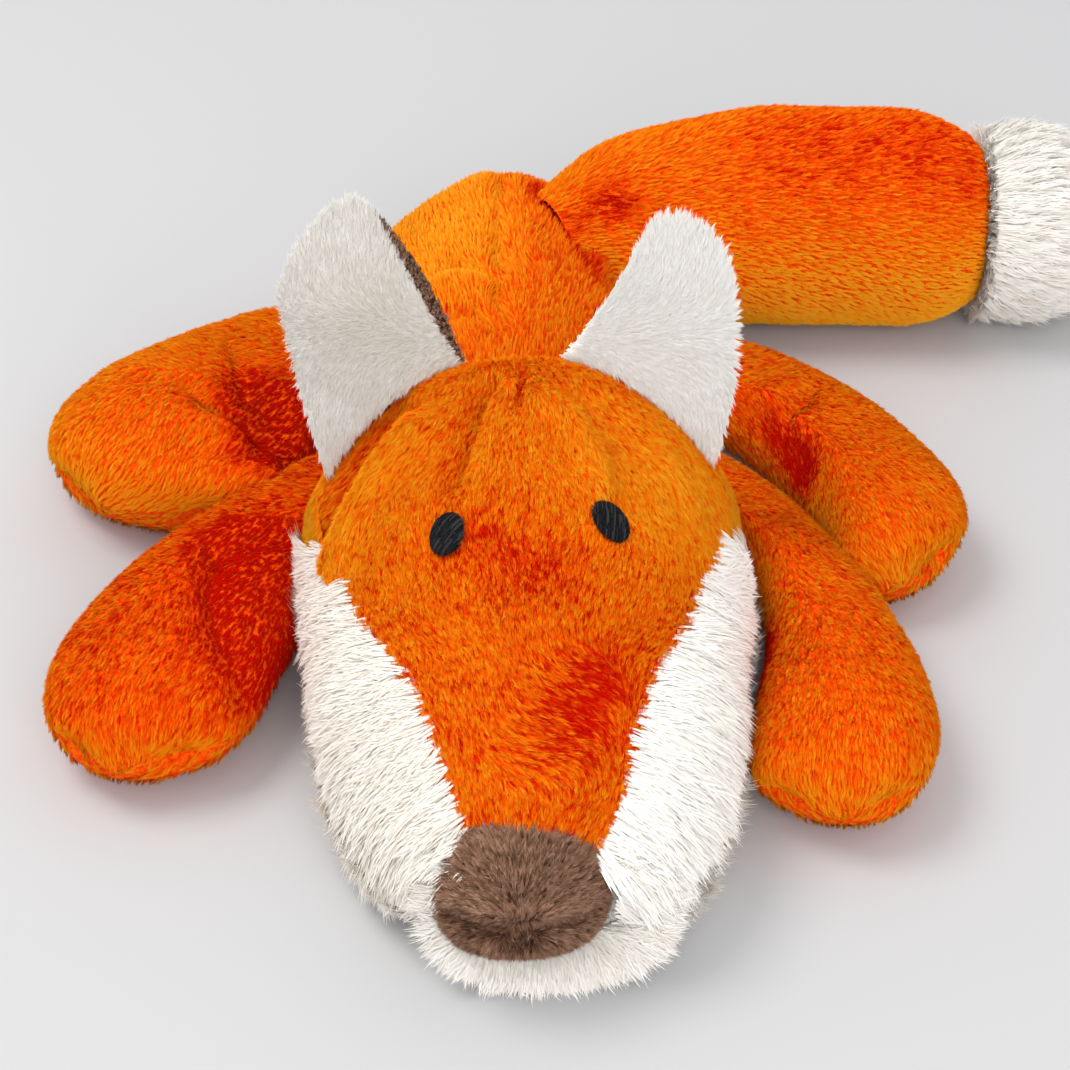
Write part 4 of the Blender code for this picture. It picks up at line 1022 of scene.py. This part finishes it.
def ear_sheet(side, face, tall, rim):
    """One panel of an ear. rim is how far the panel shows beyond the other at its inner edge."""
    ends = ear_base(side, np.array((0.0, 1.0)))
    across = unit(ends[1] - ends[0])
    tip = np.array((side * EAR_TIP_OUT[side], EAR_LEAN, EAR_HEIGHT))
    front = unit(np.cross(across, tip))
    if front[1] > 0:
        front = -front

    def shape(a, b):
        base = ear_base(side, a)
        middle = ear_base(side, np.array(0.5))
        narrow = np.where(a < 0.5, smooth(EAR_OUTER_WIDTH[side], b), smooth(EAR_INNER_WIDTH[side], b))
        round_tip = np.sqrt(np.clip(1 - ramp_up(b, 0.80, 1.0) ** 2 * 0.94, 0, 1))
        behind = 1.0 if face > 0 else 0.95
        sideways = (2 * a - 1) * EAR_HALF_WIDTH * narrow * round_tip * behind
        rimmed = rim * np.sin(PI * ramp_up(b, -0.10, 0.92)) ** 0.6
        sideways = sideways + rimmed * ramp_up(a, 0.6, 1.0)
        above = middle + tip * (b * tall)[..., None] + across * sideways[..., None]
        mix = np.minimum(1, 3 * b)[..., None]
        point = base * (1 - mix) + above * mix
        cup = 0.006 * (sideways / EAR_HALF_WIDTH) ** 2 * np.minimum(1, 2 * b)
        cup = cup + 0.9 * rimmed * ramp_up(a, 0.75, 1.0) ** 2
        bulge = 0.0018 * np.sin(np.pi * a) * np.sin(np.pi * np.clip(b, 0, 1))
        return point + front * (cup + face * (0.00135 + bulge))[..., None]
    return Sheet(grid(shape, 70, 70)), across, tip, front


def make_ears():
    for name, side, tall, rim in (("ear_left", 1, 0.875, 0.0), ("ear_right", -1, 1.01, 0.0042)):
        for face, material, cloth, slot in ((1, EAR_PILE, WHITE_CLOTH, "white_plush"),
                                            (-1, BROWN_PILE, BROWN_CLOTH, "brown_plush")):
            height, shown = (tall, 0.0) if face > 0 else (tall - 0.04, rim)
            sheet, across, tip, front = ear_sheet(side, face, height, shown)
            if (sheet.normals * front * face).sum() < 0:
                sheet.normals = -sheet.normals
                sheet.soft = sheet.normals
            label = name + ("_front" if face == 1 else "_back")
            ground = skin(label + "_skin", sheet, cloth)
            centre = sheet.points[35, 24]

            def nap(points, normals, centre=centre, tip=tip, across=across):
                """Up at the tip, turning outwards and down towards the seam."""
                rise = (points - centre) @ unit(tip)
                aside = (points - centre) @ across
                angle = (1 - ramp_up(rise, -0.022, 0.020)) * math.radians(120) - aside / 0.025 * 0.6
                angle = (angle + 0.25 * lumps(points, 0.02, 81))[:, None]
                return unit(tip) * np.cos(angle) - across * np.sin(angle)

            def upwards(points, normals, tip=tip):
                return np.broadcast_to(tip, points.shape)

            def shade(points, centre=centre, side=side):
                # Painted shade: the fox's right ear is toned darker, and both are darker in the hollow middles of their
                # cups.
                painted_ear_shade = 0.10 if side > 0 else 0.42
                return 0.22 - painted_ear_shade - painted_ear_shade * bell(points, (centre,), 0.013) + 0.06 * lumps(points, 0.008, 83)
            count, comb, length = (42000, nap, 0.0030) if face == 1 else (22000, upwards, 0.0022)
            pile = fur(label + "_pile", sheet, count, material, comb, 90 + side + face, length=length,
                       width=0.00028, lift=34, tuft=11, radius=0.0007, gather=0.4, swirl=0.22,
                       shade=shade if face == 1 else None)
            if rim and face < 0:
                inside = Sheet(sheet.points[56:])
                inside.normals = inside.soft = -sheet.normals[56:]
                pile += fur(label + "_rim_pile", inside, 9000, material, towards(-side * 0.5, 0, 1), 97, length=0.0026,
                            width=0.00030, lift=46, radius=0.0005, shade=even(0.30))
            seam = JOINTS[name + "_flop"]
            upright = tip - (tip @ np.array(seam["axis"])) * np.array(seam["axis"])
            start = np.array(seam["pos_m"])
            bend = ("head", tuple(start), tuple(start + unit(upright) * EAR_BEND))
            dress([ground, *pile], name, slot, label, bend=bend)


# Body

BODY_FOLDS = (
    (route(-80, 560, 460), 0.0040, 0.0120),
    (route(-310, 400, 380, -380, 120, 360), -0.0072, 0.0150),
    (route(-303, 45, 460, -196, 67, 470, -81, -11, 470), -0.0048, 0.0032),
    (route(-310, -50, 440, -196, -40, 470, -81, -110, 470), 0.0026, 0.0036),
    (route(-233, -217, 460, -144, -206, 470, -53, -295, 470), -0.0046, 0.0032),
    (route(-62, 620, 420, -62, 390, 500, -72, 40, 470, -60, -335, 470), -0.0026, 0.0030),
    (route(20, 200, 480, 80, 0, 470), 0.0018, 0.0050),
)
TAIL_CREASE = route(80, 468, 460, 165, 316, 460, 285, 28, 440)


def make_body():
    def side_sheet(side):
        def shape(a, b):
            return body_surface(side * a * PI / 2, 0.02 + 0.98 * b)
        sheet = Sheet(grid(shape, 80, 150), middle=(0, -0.01, 0.01))
        sheet.push(0.0005 * lumps(sheet.points, 0.025, 7))
        return sheet.fold(*BODY_FOLDS, (TAIL_CREASE, -0.0036, 0.0036))

    def nap(points, normals):
        way = np.zeros_like(points)
        way[:, 1] = 1
        way[:, 0] = 0.2 * lumps(points, 0.03, 23)
        way[:, 2] = -0.3
        return way

    def shade(points):
        # Painted shade in the folds and deepest at the tail's root, and painted light, lighter, on the fox's right
        # flank, which faces the key lamp.
        folds = bell(points, BODY_FOLDS[2][0], 0.003) + bell(points, BODY_FOLDS[4][0], 0.003)
        root = bell(points, TAIL_CREASE, 0.0046)
        folds = folds + 0.5 * bell(points, BODY_FOLDS[5][0], 0.0034)
        painted_lit_side = ramp_up(-points[:, 0], -0.004, 0.008) * ramp_up(points[:, 1], -0.04, 0.0)
        return 0.05 * lumps(points, 0.012, 13) + 0.36 * painted_lit_side - 0.46 * folds - 0.95 * root - 0.08
    for name, side in (("body_back_left", 1), ("body_back_right", -1)):
        cover(name, side_sheet(side), ORANGE, "body", (name,), 62000, nap, 100 + side, shade=shade, tone_spread=0.12)

    def belly(a, b):
        return body_surface(PI + (2 * a - 1) * PI / 2, 0.02 + 0.98 * b)
    sheet = Sheet(grid(belly, 60, 90), middle=(0, -0.01, 0.03))
    cover("body_belly", sheet, ORANGE, "body", ("body_belly", "body_filling", "pellet_bag"), 22000, nap, 103)


# Limbs

FRONT_RIGHT_FOLD = route(-800, -1180, 300, -812, -1300, 310, -790, -1450, 280, -710, -1600, 220)
HAUNCH_HOLLOW = route(-740, -480, 260, -720, -600, 240)
HAUNCH_FOLDS = (
    route(-965, -500, 370, -847, -568, 350, -740, -600, 300),
    route(-960, -721, 340, -832, -721, 330, -740, -700, 300),
    route(-847, -220, 370, -799, -400, 370, -749, -550, 330),
)
HIND_LEFT_HOLLOW = route(650, -560, 280, 760, -700, 260)
LIMB_FOLDS = {
    "front_right": (
        (FRONT_RIGHT_FOLD, -0.0062, 0.0048),
        (route(-920, -1250, 340), 0.0020, 0.0180),
        (route(-640, -1080, 300, -720, -1120, 310), -0.0020, 0.0040),
    ),
    "hind_right": (
        (route(-1080, -500, 360, -1180, -650, 340), 0.0046, 0.0230),
        (HAUNCH_HOLLOW, -0.0085, 0.0085),
        (HAUNCH_FOLDS[0], -0.0034, 0.0036),
        (HAUNCH_FOLDS[1], -0.0030, 0.0034),
        (HAUNCH_FOLDS[2], -0.0040, 0.0030),
        (route(-1176, -424, 400, -1044, -448, 420, -902, -463, 400), 0.0018, 0.0034),
        (route(-900, -630, 360, -800, -640, 340), 0.0018, 0.0034),
    ),
    "hind_left": (
        (HIND_LEFT_HOLLOW, -0.0070, 0.0070),
        (route(937, -274, 340, 828, -475, 340, 720, -600, 300), -0.0034, 0.0034),
        (route(860, -240, 360, 740, -430, 360), 0.0022, 0.0050),
    ),
    "front_left": (
        (route(600, -800, 300, 700, -950, 300), -0.0020, 0.0050),
        (route(720, -1500, 280, 700, -1300, 280), -0.0015, 0.0060),
    ),
}
# Lines of painted shade on each limb, in its hollows and folds and beside the cheek, with their widths.
LIMB_RED = {
    "front_right": route(-700, -1180, 280, -690, -1300, 280, -660, -1450, 240),
    "hind_right": HAUNCH_HOLLOW,
    "hind_left": HIND_LEFT_HOLLOW,
    "front_left": route(680, -1650, 140, 640, -1400, 180),
}
LIMB_RED_WIDTH = {"front_right": 0.0128, "hind_right": 0.0124, "hind_left": 0.0085, "front_left": 0.0060}
LIMB_TONE = {"front_right": -0.22, "hind_right": -0.05, "hind_left": -0.10, "front_left": -0.12}


def make_limbs():
    for index, limb in enumerate(LIMBS):
        angles = np.array(limb.headings)

        def nap(points, normals, limb=limb, angles=angles):
            share = np.clip(np.linalg.norm((points - limb.root)[:, :2], axis=1) / limb.length, 0, 1)
            angle = smooth(angles, share) + 0.25 * lumps(points, 0.03, 33)
            return stack(np.cos(angle), np.sin(angle), -0.2)

        def shade(points, limb=limb):
            share = np.linalg.norm((points - limb.root)[:, :2], axis=1) / limb.length
            # Painted shade, deep red, along the limb's shade line.
            red = bell(points, LIMB_RED[limb.name], LIMB_RED_WIDTH[limb.name])
            return 0.05 * lumps(points, 0.012, 14) + 0.10 * (share - 0.5) - 1.5 * red + LIMB_TONE[limb.name]
        for label, face, count in (("top", 1, 66000), ("sole", -1, 17000)):
            def shape(a, b, limb=limb, face=face):
                return limb.surface((2 * a - 1) * PI / 2, b, face)
            sheet = Sheet(grid(shape, 90, 140 if face == 1 else 70))
            sheet.middle = sheet.middle - np.array((0, 0, face * 0.02))
            sheet.face()
            if face == 1:
                sheet.push(0.0004 * lumps(sheet.points, 0.02, 8 + index))
                edge = np.sin(np.linspace(0, PI, 91))[:, None] ** 0.7
                sheet.fold(*LIMB_FOLDS[limb.name], still=edge).lit(0, -0.05, 0.25)
            name = limb.name + "_" + label
            nodes = (name, limb.name + "_filling") if face == 1 else (name,)
            cover(name, sheet, ORANGE, limb.name, nodes, count, nap, 120 + 2 * index + (face > 0), shade=shade,
                  pieces=2 if face == 1 else 1, length=0.0025, tone_spread=0.12)


# Tail

TAIL_FOLDS = (
    (route(150, 250, 500, 220, 300, 560, 300, 280, 520), -0.0025, 0.0045),
    (route(300, 220, 500, 400, 180, 400), -0.0020, 0.0060),
)


def make_tail():
    def sleeve(a, b):
        return sleeve_surface((2 * a - 1) * PI, b)

    def tip(a, b):
        return tip_surface((2 * a - 1) * PI, b)

    def shade(points):
        # Painted light and shade: the tail's top redder and darker, its underside lighter where the floor's bounce
        # lights it, and painted shade in the fold at its root.
        red = bell(points, route(900, 400, 680, 1350, 400, 660), 0.026)
        root = bell(points, TAIL_FOLDS[0][0], 0.006)
        low = 1 - ramp_up(points[:, 2], 0.026, 0.052)
        return 0.05 * lumps(points, 0.015, 15) - 0.26 * red - 0.80 * root + 0.26 * low - 0.02

    def fluff_nap(points, normals):
        axis = np.array((0.0, 0.050, 0.034))
        way = points - axis
        way[:, 0] = 0
        way = unit(way)
        start = 1 - ramp_up(points[:, 0], TAIL_END[0], TAIL_END[0] + 0.02)
        return way * (0.3 + 0.5 * start)[:, None] + np.array((1.0, 0, 0)) * (1 - 0.45 * start)[:, None]

    def fluff_grow(points):
        return 0.6 + 0.4 * ramp_up(points[:, 0], TAIL_END[0], TAIL_END[0] + 0.02)
    sheet = Sheet(grid(sleeve, 140, 150), closed=True)
    sheet.push(0.0006 * lumps(sheet.points, 0.04, 9))
    sheet.fold(*TAIL_FOLDS).lit(0, -0.80, 0.50)
    cover("tail_sleeve", sheet, ORANGE, "tail", ("tail_sleeve",), 160000, towards(1, 0.05, -0.1), 141, shade=shade,
          pieces=4, length=0.0026, width=0.00032, tone_spread=0.11)
    sheet = Sheet(grid(tip, 100, 60), closed=True).lit(0, -0.4, 0.6)
    cover("tail_tip", sheet, WHITE, "tail", ("tail_tip", "tail_filling"), 50000, fluff_nap, 145, length=0.0085,
          width=0.00040, lift=36, tuft=24, radius=0.0018, gather=0.6, spans=3, untidy=0.14, pieces=2, grow=fluff_grow)


TAIL_END = walk(TAIL_START_POINT, TAIL_HEADINGS, TAIL_ORANGE, np.array(1.0))


# Stage, light and camera

FLOOR_HALF, FLOOR_PAINT = 6, (0.57, 0.57, 0.575, 1)
WORLD_COLOUR, WORLD_STRENGTH = (0.97, 0.98, 1.0, 1), 0.82
# Each light's name, place, target, size in metres, watts and colour.
LIGHTS = (
    ("key", (-0.6, 0.0, 1.2), (0.02, -0.05, 0.03), 0.7, 8.0, (1.0, 0.98, 0.95)),
    ("fill", (0.3, -1.3, 0.8), (0.02, -0.1, 0.03), 1.0, 9.0, (1.0, 1.0, 1.0)),
)
# The lens was fitted to the photo: its focal length in photo pixels, and the photo's width in them.
FOCAL_PIXELS, PHOTO_PIXELS, SENSOR = 2200, 1070, 36
CAMERA_PLACE, CAMERA_TILT = (0.005, -0.5669, 0.4160), math.radians(50)


def make_stage():
    mesh = bpy.data.meshes.new("floor")
    half = FLOOR_HALF
    mesh.from_pydata([(-half, -half, 0), (half, -half, 0), (half, half, 0), (-half, half, 0)], [], [(0, 1, 2, 3)])
    material = bpy.data.materials.new("floor_paint")
    material.use_nodes = True
    shader = material.node_tree.nodes["Principled BSDF"]
    shader.inputs["Base Color"].default_value = FLOOR_PAINT
    shader.inputs["Roughness"].default_value = 0.9
    shader.inputs["Specular IOR Level"].default_value = 0.1
    floor = link("floor", mesh, material)


def soft_light(name, place, target, size, watts, colour):
    light = bpy.data.lights.new(name, "AREA")
    light.shape = "DISK"
    light.size = size
    light.energy = watts
    light.color = colour
    obj = bpy.data.objects.new(name, light)
    bpy.context.scene.collection.objects.link(obj)
    obj.location = place
    obj.rotation_mode = "QUATERNION"
    obj.rotation_quaternion = Vector(np.array(target) - np.array(place)).to_track_quat("-Z", "Y")


def make_light():
    world = bpy.data.worlds.new("studio")
    bpy.context.scene.world = world
    world.use_nodes = True
    background = world.node_tree.nodes["Background"]
    background.inputs["Color"].default_value = WORLD_COLOUR
    background.inputs["Strength"].default_value = WORLD_STRENGTH
    for light in LIGHTS:
        soft_light(*light)


def make_camera():
    data = bpy.data.cameras.new("camera")
    data.lens = FOCAL_PIXELS / PHOTO_PIXELS * SENSOR
    data.sensor_width = SENSOR
    data.clip_start = 0.01
    camera = bpy.data.objects.new("camera", data)
    camera.location = CAMERA_PLACE
    camera.rotation_euler = (CAMERA_TILT, 0, 0)
    bpy.context.scene.collection.objects.link(camera)
    bpy.context.scene.camera = camera


def main():
    make_camera()
    make_stage()
    make_light()
    make_face()
    make_cheeks()
    make_chin()
    make_head_back()
    make_nose()
    make_eye("eye_left", *EYES[0], -0.40, 5)
    make_eye("eye_right", *EYES[1], 0.06, 6)
    make_ears()
    make_body()
    make_limbs()
    make_tail()
    bpy.context.scene.view_settings.view_transform = "Standard"


main()
